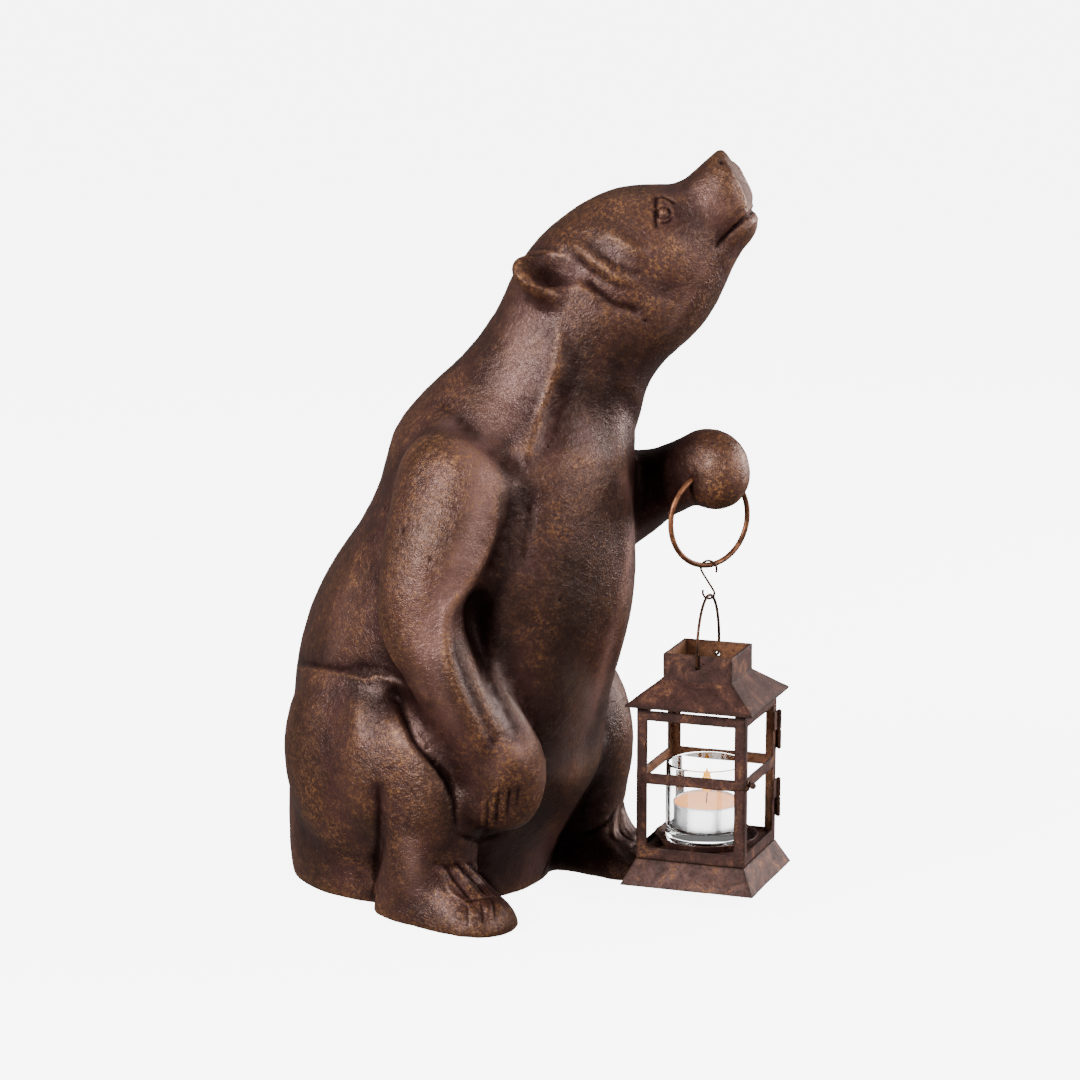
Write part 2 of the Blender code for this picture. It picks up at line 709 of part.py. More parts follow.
def door(finish):
    """A sheet frame that closes the right side between the front and back walls."""
    h = HALF_FRAME
    half = h - SHEET - 2 * GAP
    low = BASE_HEIGHT + 2 * GAP
    levels = window_levels()
    top = levels[1][1] + TOP_RAIL
    item = box("door", (h - SHEET, -half, low), (h, half, top), finish)
    openings = bmesh.new()
    for sill, lintel in levels[:2]:
        add_box(openings, (h - OVERSHOOT, -h + POST_WIDTH, sill),
                (h + OVERSHOOT, h - POST_WIDTH, lintel))
    cutter = add_mesh("door_windows", openings, finish)
    cut(item, cutter)
    return item, cutter


HINGE_X = HALF_FRAME + KNUCKLE_RADIUS + GAP
HINGE_Y = HALF_FRAME - 0.2 * MM


def hinge(index, middle, finish):
    """Two leaves on one pin: the door's half above, the post's half below."""
    halves = []
    for name, low, high in (("door_leaf", middle + GAP, middle + HINGE_HEIGHT / 2),
                            ("post_leaf", middle - HINGE_HEIGHT / 2, middle - GAP)):
        bm = bmesh.new()
        face = HALF_FRAME + GAP
        if name == "door_leaf":
            add_box(bm, (face, HINGE_Y - HINGE_LEAF, low),
                    (face + LEAF_THICKNESS, HINGE_Y - KNUCKLE_RADIUS * LEAF_SHARE, high))
        else:
            add_box(bm, (HINGE_X - HINGE_LEAF, face, low),
                    (HINGE_X - KNUCKLE_RADIUS * LEAF_SHARE, face + LEAF_THICKNESS, high))
        leaf = add_mesh(f"{name}_{index}", bm, finish)
        knuckle = bmesh.new()
        place = Matrix.Translation((HINGE_X, HINGE_Y, (low + high) / 2))
        bmesh.ops.create_cone(knuckle, cap_ends=True, segments=14, radius1=KNUCKLE_RADIUS,
                              radius2=KNUCKLE_RADIUS, depth=high - low, matrix=place)
        bore = bmesh.new()
        bmesh.ops.create_cone(bore, cap_ends=True, segments=14, radius1=HINGE_PIN_RADIUS + GAP,
                              radius2=HINGE_PIN_RADIUS + GAP, depth=2 * HINGE_HEIGHT, matrix=place)
        body = add_mesh(f"{name}_{index}_knuckle", knuckle, finish)
        hole = add_mesh(f"{name}_{index}_bore", bore, finish)
        cut(leaf, body, "UNION")
        cut(leaf, hole)
        halves.append((leaf, (body, hole)))
    pin = bmesh.new()
    bmesh.ops.create_cone(pin, cap_ends=True, segments=12, radius1=HINGE_PIN_RADIUS,
                          radius2=HINGE_PIN_RADIUS, depth=HINGE_HEIGHT + HINGE_PIN_HEADS,
                          matrix=Matrix.Translation((HINGE_X, HINGE_Y, middle)))
    return halves, add_mesh(f"hinge_pin_{index}", pin, finish)


def knob_place():
    levels = window_levels()
    return -HALF_FRAME + POST_WIDTH * 0.75, (levels[0][1] + levels[1][0]) / 2


def door_knob(finish):
    """A ball on a short stem, on the door's front stile."""
    y, z = knob_place()
    stem = HALF_FRAME + GAP
    profile = [(0, stem), (KNOB_STEM_RADIUS, stem), (KNOB_STEM_RADIUS, stem + KNOB_STEM)]
    centre = stem + KNOB_STEM + 0.8 * KNOB_RADIUS
    profile += [(x, height) for x, height in arc(KNOB_RADIUS, -55, 90, 6, (0, centre))][:-1]
    profile.append((0, centre + KNOB_RADIUS))
    item = turned("door_knob", profile, finish, sides=14)
    item.data.transform(Matrix.Translation((0, y, z)) @ Matrix.Rotation(math.pi / 2, 4, "Y"))
    return item


def latch_loop(finish):
    """A wire from the front post that loops round the knob's stem."""
    y, z = knob_place()
    half = LOOP_WIRE / 2
    front = -HALF_FRAME - GAP - half
    out = HALF_FRAME + GAP + half
    radius = KNOB_RADIUS + half + GAP
    level = z - LOOP_DROP
    points = [(HALF_FRAME - POST_WIDTH, front, level), (out - LOOP_WIRE, front, level),
              (out, front + half, level)]
    start = math.degrees(math.asin(LOOP_DROP / radius))
    loop = arc(radius, 180 + start + 6, 520, 14, (y, z))
    points += [(out, across, up) for across, up in loop]
    return wire("latch_loop", points, LOOP_WIRE, finish)


def lantern_base(finish):
    """A flared skirt with a closed top, open below."""
    foot, top = BASE_SIDE / 2, HALF_FRAME + BASE_LIP
    profile = [(0, BASE_HEIGHT), (top, BASE_HEIGHT), (foot, 0), (foot - SHEET, 0),
               (top - SHEET, BASE_HEIGHT - SHEET), (0, BASE_HEIGHT - SHEET)]
    return turned("lantern_base", profile, finish, sides=4)


def lantern_floor(finish):
    """A square tray, upside down, that lifts the dish to the sill."""
    half = HALF_FRAME - SHEET - 2 * GAP
    foot = BASE_HEIGHT + GAP
    profile = [(0, FLOOR_TOP), (half, FLOOR_TOP), (half, foot), (half - SHEET, foot),
               (half - SHEET, FLOOR_TOP - SHEET), (0, FLOOR_TOP - SHEET)]
    return turned("lantern_floor", profile, finish, sides=4)


def vessel(name, foot, diameter, height, wall, bottom, finish, flare=0.0):
    """A round straight cup, open at the top."""
    outer = diameter / 2
    profile = [(0, foot), (outer - flare - 0.4 * wall, foot), (outer - flare, foot + 0.4 * wall),
               (outer, foot + height), (outer - wall, foot + height),
               (outer - wall - flare, foot + bottom), (0, foot + bottom)]
    return turned(name, profile, finish)


def candle_wax(finish):
    radius = CANDLE_DIAMETER / 2 - CANDLE_CUP_WALL - GAP
    low = CANDLE_FOOT + CANDLE_CUP_WALL + GAP
    high = CANDLE_FOOT + CANDLE_HEIGHT - WAX_DROP
    return turned("candle_wax", [(0, low), (radius, low), (radius, high), (0, high)], finish)


def wick(finish):
    low = CANDLE_FOOT + CANDLE_HEIGHT - WAX_DROP + GAP
    radius = WICK_DIAMETER / 2
    profile = [(0, low), (radius, low), (radius, low + WICK_HEIGHT), (0, low + WICK_HEIGHT)]
    return turned("wick", profile, finish, sides=10)


def lantern(sheet_finish, glass_finish, metal_finish, wax_finish, wick_finish):
    """Everything that swings on the bail, and the door on its hinges."""
    pivot = bpy.data.objects.new("lantern_pivot", None)
    pivot.location = CHAIN_PLACE + Vector((0, 0, PIVOT_HEIGHT))
    pivot.rotation_euler = (0, 0, LANTERN_TURN)
    door_pivot = bpy.data.objects.new("door_pivot", None)
    for empty in (pivot, door_pivot):
        bpy.context.scene.collection.objects.link(empty)
    pivot_origin = (0, 0, PIVOT_LEVEL)
    door_origin = (HINGE_X, HINGE_Y, 0)
    door_pivot.parent = pivot
    door_pivot.location = Vector(door_origin) - Vector(pivot_origin)
    fixed = []
    swinging = []
    roof, holes = lantern_roof(sheet_finish)
    frame, windows = lantern_frame(sheet_finish)
    fixed += [roof, holes, frame, *windows, lantern_base(sheet_finish), lantern_floor(sheet_finish)]
    fixed.append(vessel("dish", DISH_FOOT, DISH_DIAMETER, DISH_HEIGHT, DISH_WALL, DISH_WALL,
                        sheet_finish, flare=2 * MM))
    fixed.append(vessel("glass_cup", GLASS_FOOT, GLASS_DIAMETER, GLASS_HEIGHT, GLASS_WALL,
                        GLASS_BOTTOM, glass_finish))
    fixed.append(vessel("candle_cup", CANDLE_FOOT, CANDLE_DIAMETER, CANDLE_HEIGHT, CANDLE_CUP_WALL,
                        CANDLE_CUP_WALL, metal_finish))
    fixed += [candle_wax(wax_finish), wick(wick_finish), latch_loop(sheet_finish)]
    panel, openings = door(sheet_finish)
    swinging += [panel, openings, door_knob(sheet_finish)]
    levels = window_levels()
    for index, (low, high) in enumerate(levels[:2], start=1):
        (door_half, post_half), pin = hinge(index, (low + high) / 2, sheet_finish)
        swinging += [door_half[0], *door_half[1]]
        fixed += [post_half[0], *post_half[1], pin]
    for item in fixed:
        hang_on(item, pivot, pivot_origin)
    for item in swinging:
        hang_on(item, door_pivot, door_origin)


def main():
    clear_scene()
    patina = material("brown_patina", (0.09, 0.045, 0.03), 0.45, 0.6)
    copper = material("copper_brown_wire", (0.22, 0.09, 0.045), 0.4, 0.8)
    sheet = material("rusted_sheet", (0.13, 0.07, 0.05), 0.55, 0.5)
    clear = material("clear_glass", (1, 1, 1), 0.02, see_through=1.0)
    bright = material("bright_aluminium", (0.8, 0.8, 0.82), 0.3, 1.0)
    wax = material("white_wax", (0.93, 0.85, 0.75), 0.5)
    cord = material("charred_wick", (0.05, 0.04, 0.04), 0.9)
    bear(patina, ring_tunnel(patina))
    ring(copper)
    s_hook(copper)
    bail(sheet)
    lantern(sheet, clear, bright, wax, cord)


main()
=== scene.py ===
"""Looks for the seated bear with a hanging candle lantern, laid out as a Blender add-on."""
import json
import math

import bmesh
import bpy
import numpy as np
from bpy.props import FloatProperty, FloatVectorProperty, IntProperty, PointerProperty
from mathutils import Matrix, Vector, noise
from mathutils.bvhtree import BVHTree


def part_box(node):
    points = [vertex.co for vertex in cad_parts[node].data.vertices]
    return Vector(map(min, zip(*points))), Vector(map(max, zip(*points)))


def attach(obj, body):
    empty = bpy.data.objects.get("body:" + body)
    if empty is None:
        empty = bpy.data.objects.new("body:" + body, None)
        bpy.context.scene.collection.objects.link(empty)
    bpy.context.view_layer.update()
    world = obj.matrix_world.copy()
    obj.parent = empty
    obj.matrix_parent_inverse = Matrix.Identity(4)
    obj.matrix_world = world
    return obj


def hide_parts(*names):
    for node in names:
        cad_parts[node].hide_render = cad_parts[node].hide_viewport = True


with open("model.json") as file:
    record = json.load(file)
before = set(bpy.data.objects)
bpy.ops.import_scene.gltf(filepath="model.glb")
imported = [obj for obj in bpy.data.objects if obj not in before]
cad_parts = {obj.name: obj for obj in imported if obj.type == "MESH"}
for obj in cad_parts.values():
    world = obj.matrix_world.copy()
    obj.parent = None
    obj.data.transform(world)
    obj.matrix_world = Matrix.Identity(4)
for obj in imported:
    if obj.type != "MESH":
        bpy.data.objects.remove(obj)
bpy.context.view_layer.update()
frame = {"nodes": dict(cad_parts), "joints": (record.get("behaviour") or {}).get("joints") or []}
# The noise that pushes drawn lines and sheets about is the same in each run
NOISE_SEED = 7
noise.seed_set(NOISE_SEED)

bl_info = {
    "name": "Cast Bear with Candle Lantern",
    "version": (1, 0, 0),
    "blender": (4, 5, 0),
    "location": "View3D > Sidebar > Bear",
    "description": "Dresses the seated bear, its ring and its candle lantern",
    "category": "Object",
}

MM = 0.001
WELD = 0.005 * MM
TURNED_WELD = 0.004 * MM
TINY = 1e-12

# The photograph's view: eye point in metres, directions in radians, focal length in pixels
PICTURE = 1080
VIEW_AZIMUTH = math.radians(40)
VIEW_TURN = math.radians(38.17)
VIEW_DROP = math.radians(11.67)
VIEW_FOCAL = 3691
EYE_POINT = Vector((2.05 * math.sin(VIEW_AZIMUTH), -2.05 * math.cos(VIEW_AZIMUTH), 0.617))
SENSOR = 36
AHEAD = Vector((-math.sin(VIEW_TURN) * math.cos(VIEW_DROP),
                math.cos(VIEW_TURN) * math.cos(VIEW_DROP), -math.sin(VIEW_DROP)))
RIGHT = Vector((math.cos(VIEW_TURN), math.sin(VIEW_TURN), 0))
UP = RIGHT.cross(AHEAD)

# The head's middle plane, and the middle of the lantern from the frame
HEAD_MIDDLE = Vector((0.134, 0.049, 0.375))
HEAD_YAW = math.radians(28)
SWING = next(joint for joint in frame["joints"] if joint["name"] == "lantern_swing")
LANTERN_TURN = math.atan2(-SWING["axis"][0], SWING["axis"][1])
LANTERN_MIDDLE = Vector((SWING["pos_m"][0], SWING["pos_m"][1], 0))
LANTERN_PLACE = Matrix.Translation(LANTERN_MIDDLE) @ Matrix.Rotation(LANTERN_TURN, 4, "Z")


def colour_setting(name, description, default):
    return FloatVectorProperty(name=name, description=description, default=default, size=3,
                               subtype="COLOR")


def length_setting(name, description, default):
    return FloatProperty(name=name, description=description, default=default, unit="LENGTH")


class BearSettings(bpy.types.PropertyGroup):
    """Sizes and colours of the cast figure."""
    grain: length_setting("Skin grain", "Size of the squares that the skin is rebuilt from", 1.25 * MM)
    faces: IntProperty(name="Faces", description="Triangles that the finished skin keeps",
                       default=190000)
    carving: FloatProperty(name="Carving", description="Depth of the carving as a share of its own",
                           default=1.0, subtype="FACTOR")
    # The hollow colour serves both the darker patina in the creases and the painted shade
    dark: colour_setting("Hollow colour", "Colour in the hollows", (0.008, 0.0035, 0.003))
    brown: colour_setting("Patina colour", "Main colour of the patina", (0.054, 0.0205, 0.018))
    rubbed: colour_setting("Rubbed colour", "Colour where the patina is rubbed", (0.31, 0.135, 0.050))
    # The colour of the painted highlights
    highlight_colour: colour_setting("Burnished colour", "Colour where hands and cloths have burnished it",
                              (0.30, 0.152, 0.128))
    sheen: colour_setting("Sheen colour", "Tint of the patina's highlights", (1.0, 0.74, 0.66))


class LanternSettings(bpy.types.PropertyGroup):
    """Sizes and colours of the lantern, its wires and its candle."""
    edge: length_setting("Sheet edge", "Rounding of the sheet's edges", 0.2 * MM)
    dent: length_setting("Dents", "How far the hand-cut sheet is out of true", 0.35 * MM)
    weave: length_setting("Sheet grain", "Longest edge of the sheet's own mesh", 2.5 * MM)
    flame_height: length_setting("Flame height", "Height of the candle's flame", 15 * MM)
    brown: colour_setting("Sheet colour", "Colour of the rusted sheet", (0.086, 0.037, 0.029))
    ochre: colour_setting("Rust colour", "Colour of the sheet's rust", (0.40, 0.175, 0.065))
    copper: colour_setting("Wire colour", "Colour of the ring and the wires", (0.34, 0.13, 0.06))


# Noise of the finishes: scale, detail, roughness and distortion
NOISE = {
    "patina clouds": (26, 5, 0.6, 0.3),
    "patina patches": (75, 4, 0.62, 0.5),
    "patina stipple": (480, 5, 0.7, 0.8),
    "patina specks": (1100, 3, 0.6, 0),
    "patina swells": (85, 3, 0.5, 0),
    "patina creases": (330, 3, 0.6, 1.6),
    "rust blooms": (75, 6, 0.72, 0.8),
    "rust grain": (420, 5, 0.7, 0),
    "rust specks": (800, 3, 0.6, 0),
    "rust dimples": (130, 3, 0.5, 0),
    "wire stains": (90, 4, 0.6, 0.5),
    "wire grain": (500, 4, 0.65, 0),
    "foil grain": (700, 3, 0.6, 0),
    "wax clouds": (120, 3, 0.5, 0),
    "wick ash": (1500, 3, 0.6, 0),
}
# How far each look covers what lies under it
WILD_GOLD = 0.4
GOLD_SHARE = 0.72
SPECK_SHARE = 0.14
# The next three cover with painted highlight, with painted shade, and with the hollows' darker patina and
# painted shade
PAINTED_HIGHLIGHT_SHARE = 0.6
PAINTED_SHADE_SHARE = 0.8
HOLLOW_SHARE = 0.94
RUST_SHARE = 0.48
INSIDE_SHARE = 0.28
SCUFF_SHARE = 0.75
SEAM_SHARE = 0.75
RUB_SHARE = 0.6


# Materials

def new_material(name):
    made = bpy.data.materials.new(name)
    made.use_nodes = True
    return made, made.node_tree, made.node_tree.nodes["Principled BSDF"]


def node(tree, kind, **values):
    made = tree.nodes.new(kind)
    for key, value in values.items():
        if key in made.inputs:
            made.inputs[key].default_value = value
        else:
            setattr(made, key, value)
    return made


def object_noise(tree, name):
    """One of the noises, on the piece's own coordinates."""
    scale, detail, roughness, distortion = NOISE[name]
    place = tree.nodes.get("Place") or node(tree, "ShaderNodeTexCoord")
    place.name = "Place"
    made = node(tree, "ShaderNodeTexNoise", Scale=scale, Detail=detail, Roughness=roughness,
                Distortion=distortion)
    tree.links.new(place.outputs["Object"], made.inputs["Vector"])
    return made.outputs["Fac"]


def stepped(tree, value, low, high, out_low=0.0, out_high=1.0):
    """Map a value from one range to another, clamped."""
    bounds = {"From Min": low, "From Max": high, "To Min": out_low, "To Max": out_high}
    made = node(tree, "ShaderNodeMapRange", interpolation_type="SMOOTHSTEP", **bounds)
    tree.links.new(value, made.inputs["Value"])
    return made.outputs["Result"]


def maths(tree, operation, first, second):
    """Join two values, each a number or a socket, and clamp the result."""
    made = node(tree, "ShaderNodeMath", operation=operation, use_clamp=True)
    for slot, value in zip(made.inputs, (first, second)):
        if isinstance(value, (int, float)):
            slot.default_value = value
        else:
            tree.links.new(value, slot)
    return made.outputs["Value"]


def times(tree, first, second):
    return maths(tree, "MULTIPLY", first, second)


def plus(tree, first, second):
    return maths(tree, "ADD", first, second)


def mixed(tree, amount, first, second):
    """Mix two colours by an amount; either may be a colour or a socket."""
    made = node(tree, "ShaderNodeMix", data_type="RGBA")
    tree.links.new(amount, made.inputs["Factor"])
    sockets = [slot for slot in made.inputs if slot.type == "RGBA"]
    for slot, value in zip(sockets, (first, second)):
        if hasattr(value, "links"):
            tree.links.new(value, slot)
        else:
            slot.default_value = (*value, 1)
    return next(out for out in made.outputs if out.type == "RGBA")


def bumped(tree, shader, layers):
    """Stack bump layers, each a height socket, a strength and a depth in metres."""
    last = None
    for height, strength, depth in layers:
        made = node(tree, "ShaderNodeBump", Strength=strength, Distance=depth)
        tree.links.new(height, made.inputs["Height"])
        if last:
            tree.links.new(last, made.inputs["Normal"])
        last = made.outputs["Normal"]
    tree.links.new(last, shader.inputs["Normal"])


def toned(tree, value, low, high, first, second):
    """Two colours, mixed as a value passes from low to high."""
    return mixed(tree, stepped(tree, value, low, high), first, second)


def attribute(tree, name):
    return node(tree, "ShaderNodeAttribute", attribute_name=name).outputs["Fac"]


def shade(colour, share):
    """A colour, darker or lighter."""
    return tuple(min(1, value * share) for value in colour)


def gilt_patches(tree, patch, broad, fine):
    """How much gold shows: stipple in wild patches and where strokes were drawn."""
    zone = times(tree, stepped(tree, patch, 0.44, 0.62), stepped(tree, broad, 0.36, 0.56))
    drawn = times(tree, attribute(tree, "gold"), stepped(tree, patch, 0.36, 0.56, 0.3, 1.0))
    zone = plus(tree, times(tree, zone, WILD_GOLD), drawn)
    return times(tree, times(tree, zone, stepped(tree, fine, 0.49, 0.60)), GOLD_SHARE)


def bear_patina_and_painted_light(settings):
    """Dark brown patina, stippled with gold in patches, with painted highlights and painted shade laid on
    in strokes, and darker patina and painted shade in the hollows.
    """
    made, tree, shader = new_material("bear_patina_and_painted_light")
    hollow = attribute(tree, "hollow")
    broad = object_noise(tree, "patina clouds")
    patch = object_noise(tree, "patina patches")
    fine = object_noise(tree, "patina stipple")
    specks = object_noise(tree, "patina specks")
    brown = toned(tree, broad, 0.34, 0.68, shade(settings.brown, 0.55), shade(settings.brown, 1.3))
    rub = gilt_patches(tree, patch, broad, fine)
    rub = plus(tree, rub, times(tree, stepped(tree, specks, 0.60, 0.70), SPECK_SHARE))
    worn = times(tree, attribute(tree, "worn"), stepped(tree, fine, 0.44, 0.64, 0.15, 0.8))
    rub = plus(tree, rub, worn)
    # Painted highlights: strokes mixed towards a lighter pinkish brown where light falls brightest
    painted_highlight = times(tree, attribute(tree, "painted_highlight"), stepped(tree, patch, 0.3, 0.6, 0.6, 1.0))
    brown = mixed(tree, times(tree, painted_highlight, PAINTED_HIGHLIGHT_SHARE), brown, settings.highlight_colour)
    colour = mixed(tree, rub, brown, settings.rubbed)
    # Painted shade: strokes darkened towards the hollow colour where shade falls
    colour = mixed(tree, times(tree, attribute(tree, "painted_shade"), PAINTED_SHADE_SHARE), colour, settings.dark)
    # Darker patina in the creases, and painted shade in the deep hollows and where the figure shelters
    # itself
    colour = mixed(tree, times(tree, hollow, HOLLOW_SHARE), colour, settings.dark)
    tree.links.new(colour, shader.inputs["Base Color"])
    shader.inputs["Metallic"].default_value = 0.3
    # The hollow value also dims the highlights, as painted shade
    tree.links.new(stepped(tree, hollow, 0.0, 0.7, 0.72, 0.08), shader.inputs["Specular IOR Level"])
    shader.inputs["Specular Tint"].default_value = settings.sheen[:] + (1,)
    tree.links.new(stepped(tree, patch, 0.3, 0.7, 0.34, 0.45), shader.inputs["Roughness"])
    swells = object_noise(tree, "patina swells")
    creases = object_noise(tree, "patina creases")
    bumped(tree, shader, ((swells, 0.4, 1.4 * MM), (creases, 0.75, 0.7 * MM), (specks, 0.6, 0.35 * MM)))
    return made


def rusted_sheet(settings):
    """Brown sheet with ochre blooms, dark scuffs and dark seams."""
    made, tree, shader = new_material("rusted_sheet")
    broad = object_noise(tree, "rust blooms")
    fine = object_noise(tree, "rust grain")
    specks = object_noise(tree, "rust specks")
    brown = toned(tree, broad, 0.32, 0.7, shade(settings.brown, 0.55), shade(settings.brown, 1.35))
    rust = times(tree, stepped(tree, broad, 0.51, 0.64), stepped(tree, fine, 0.45, 0.56))
    colour = mixed(tree, times(tree, rust, RUST_SHARE), brown, settings.ochre)
    inside = stepped(tree, attribute(tree, "inside"), 0.3, 0.7, 0.0, INSIDE_SHARE)
    colour = mixed(tree, inside, colour, settings.ochre)
    scuffs = times(tree, stepped(tree, specks, 0.57, 0.66), SCUFF_SHARE)
    colour = mixed(tree, scuffs, colour, shade(settings.brown, 0.2))
    seam = times(tree, attribute(tree, "seam"), stepped(tree, fine, 0.3, 0.6, 0.2, SEAM_SHARE))
    colour = mixed(tree, seam, colour, shade(settings.brown, 0.25))
    tree.links.new(colour, shader.inputs["Base Color"])
    shader.inputs["Metallic"].default_value = 0.3
    shader.inputs["Specular IOR Level"].default_value = 0.3
    tree.links.new(stepped(tree, fine, 0.3, 0.7, 0.52, 0.72), shader.inputs["Roughness"])
    dimples = object_noise(tree, "rust dimples")
    bumped(tree, shader, ((dimples, 0.35, 0.5 * MM), (fine, 0.4, 0.2 * MM)))
    return made


def stained_wire(name, colour):
    """Copper-brown wire with bright rubs and dark stains."""
    made, tree, shader = new_material(name)
    broad = object_noise(tree, "wire stains")
    fine = object_noise(tree, "wire grain")
    tone = toned(tree, broad, 0.4, 0.62, shade(colour, 0.3), colour)
    tone = mixed(tree, stepped(tree, fine, 0.55, 0.72, 0, RUB_SHARE), tone, shade(colour, 1.7))
    tree.links.new(tone, shader.inputs["Base Color"])
    shader.inputs["Metallic"].default_value = 0.7
    tree.links.new(stepped(tree, fine, 0.3, 0.7, 0.34, 0.55), shader.inputs["Roughness"])
    bumped(tree, shader, ((fine, 0.4, 0.15 * MM),))
    return made


def clear_glass():
    """Clear pressed glass."""
    made, tree, shader = new_material("clear_glass")
    shader.inputs["Base Color"].default_value = (0.98, 0.985, 0.985, 1)
    shader.inputs["Roughness"].default_value = 0.015
    shader.inputs["IOR"].default_value = 1.48
    shader.inputs["Transmission Weight"].default_value = 1.0
    return made


def candle_foil():
    """Thin bright aluminium, faintly drawn."""
    made, tree, shader = new_material("candle_foil")
    fine = object_noise(tree, "foil grain")
    metal = toned(tree, fine, 0.4, 0.6, (0.74, 0.74, 0.76), (0.88, 0.88, 0.9))
    tree.links.new(metal, shader.inputs["Base Color"])
    shader.inputs["Metallic"].default_value = 1.0
    tree.links.new(stepped(tree, fine, 0.3, 0.7, 0.36, 0.48), shader.inputs["Roughness"])
    bumped(tree, shader, ((fine, 0.1, 0.03 * MM),))
    return made


def lit_wax():
    """White wax, painted peach and made to glow as painted light of its flame."""
    made, tree, shader = new_material("lit_wax")
    fine = object_noise(tree, "wax clouds")
    # The peach colour is painted light of the flame on white wax
    wax = toned(tree, fine, 0.35, 0.65, (0.92, 0.58, 0.34), (0.96, 0.70, 0.46))
    tree.links.new(wax, shader.inputs["Base Color"])
    shader.inputs["Roughness"].default_value = 0.32
    shader.inputs["Subsurface Weight"].default_value = 0.4
    shader.inputs["Subsurface Radius"].default_value = (0.006, 0.003, 0.0015)
    # The glow is painted light of the flame through the wax
    shader.inputs["Emission Color"].default_value = (1.0, 0.34, 0.08, 1)
    shader.inputs["Emission Strength"].default_value = 1.7
    return made


def charred_wick():
    """Black wick with grey-brown ash."""
    made, tree, shader = new_material("charred_wick")
    fine = object_noise(tree, "wick ash")
    ash = toned(tree, fine, 0.4, 0.6, (0.01, 0.008, 0.007), (0.08, 0.05, 0.035))
    tree.links.new(ash, shader.inputs["Base Color"])
    shader.inputs["Roughness"].default_value = 0.9
    return made


def candle_flame():
    """A flame that is orange at its foot and pale yellow above."""
    made, tree, shader = new_material("candle_flame")
    colour = mixed(tree, attribute(tree, "heat"), (1.0, 0.40, 0.01), (1.0, 0.88, 0.10))
    tree.links.new(colour, shader.inputs["Emission Color"])
    shader.inputs["Base Color"].default_value = (0.0, 0.0, 0.0, 1)
    shader.inputs["Emission Strength"].default_value = 2.6
    shader.inputs["Roughness"].default_value = 1.0
    return made


def pale_floor():
    """White paper, lit from behind."""
    made, tree, shader = new_material("pale_floor")
    shader.inputs["Base Color"].default_value = (0.85, 0.85, 0.85, 1)
    shader.inputs["Roughness"].default_value = 0.8
    shader.inputs["Specular IOR Level"].default_value = 0.1
    shader.inputs["Emission Color"].default_value = (1, 1, 1, 1)
    shader.inputs["Emission Strength"].default_value = 6.5
    return made


# Mesh helpers

def linked(name, data):
    """A new object of the scene."""
    made = bpy.data.objects.new(name, data)
    bpy.context.scene.collection.objects.link(made)
    return made


def mesh_from(name, bm):
    """A mesh made of a bmesh, which is freed."""
    mesh = bpy.data.meshes.new(name)
    bm.to_mesh(mesh)
    bm.free()
    return mesh


def finish_piece(name, bm, body, finish, replaces=(), smooth_angle=35):
    """Turn a bmesh into a piece that rides on a body and takes a slot's finish."""
    mesh = mesh_from(name, bm)
    mesh.shade_smooth()
    mesh.set_sharp_from_angle(angle=math.radians(smooth_angle))
    piece = linked(name, mesh)
    mesh.materials.append(finish)
    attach(piece, body)
    if replaces:
        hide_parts(*replaces)
    return piece


def node_copy(name):
    """A merged bmesh copy of a CAD node."""
    bm = bmesh.new()
    bm.from_mesh(frame["nodes"][name].data)
    bmesh.ops.remove_doubles(bm, verts=bm.verts[:], dist=WELD)
    return bm


def points_of(mesh):
    """Places of the mesh's points, one a row."""
    places = np.empty(len(mesh.vertices) * 3)
    mesh.vertices.foreach_get("co", places)
    return places.reshape(-1, 3)


def edges_of(mesh):
    """Numbers of the two points that each edge joins."""
    edges = np.empty(len(mesh.edges) * 2, dtype=np.int64)
    mesh.edges.foreach_get("vertices", edges)
    return edges.reshape(-1, 2)


def normals_of(mesh):
    """Directions in which the mesh faces at its points."""
    normals = np.empty(len(mesh.vertices) * 3)
    mesh.vertex_normals.foreach_get("vector", normals)
    return normals.reshape(-1, 3)


def place_points(mesh, places):
    """Move the mesh's points to new places, none of them below the floor."""
    places[:, 2] = np.maximum(places[:, 2], 0)
    mesh.vertices.foreach_set("co", places.ravel())
    mesh.update()


def search_tree(mesh, places):
    """A tree that finds the faces of the mesh, its points lying at the given places."""
    return BVHTree.FromPolygons([Vector(place) for place in places],
                                [face.vertices[:] for face in mesh.polygons])


def smoothed(places, edges, passes):
    """Move each point half way to the middle of its neighbours, passes times."""
    count = len(places)
    sharing = np.maximum(np.bincount(edges.ravel(), minlength=count), 1)[:, None]
    first, second = edges[:, 0], edges[:, 1]
    for _ in range(passes):
        sums = [np.bincount(first, places[second, axis], count)
                + np.bincount(second, places[first, axis], count) for axis in range(3)]
        total = np.stack(sums, axis=1)
        places = places + 0.5 * (total / sharing - places)
    return places


def with_modifier(mesh, kind, **values):
    """The mesh after one modifier."""
    holder = linked("holder", mesh)
    modifier = holder.modifiers.new("shape", kind)
    for key, value in values.items():
        setattr(modifier, key, value)
    depsgraph = bpy.context.evaluated_depsgraph_get()
    result = bpy.data.meshes.new_from_object(holder.evaluated_get(depsgraph))
    bpy.data.objects.remove(holder, do_unlink=True)
    return result


# Carving, drawn as pixels of the photograph and cast onto the skin

def sight(pixel):
    """The direction in which the camera sees a pixel."""
    across, down = ((value - PICTURE / 2) / VIEW_FOCAL for value in pixel)
    return (AHEAD + RIGHT * across - UP * down).normalized()


def touch(tree, pixel):
    """The point of the skin seen at a pixel, or the one nearest to that line of sight."""
    way = sight(pixel)
    hit = tree.ray_cast(EYE_POINT, way)[0]
    if hit is None:
        passing = EYE_POINT + way * (HEAD_MIDDLE - EYE_POINT).dot(way)
        hit = tree.find_nearest(passing)[0]
    return hit


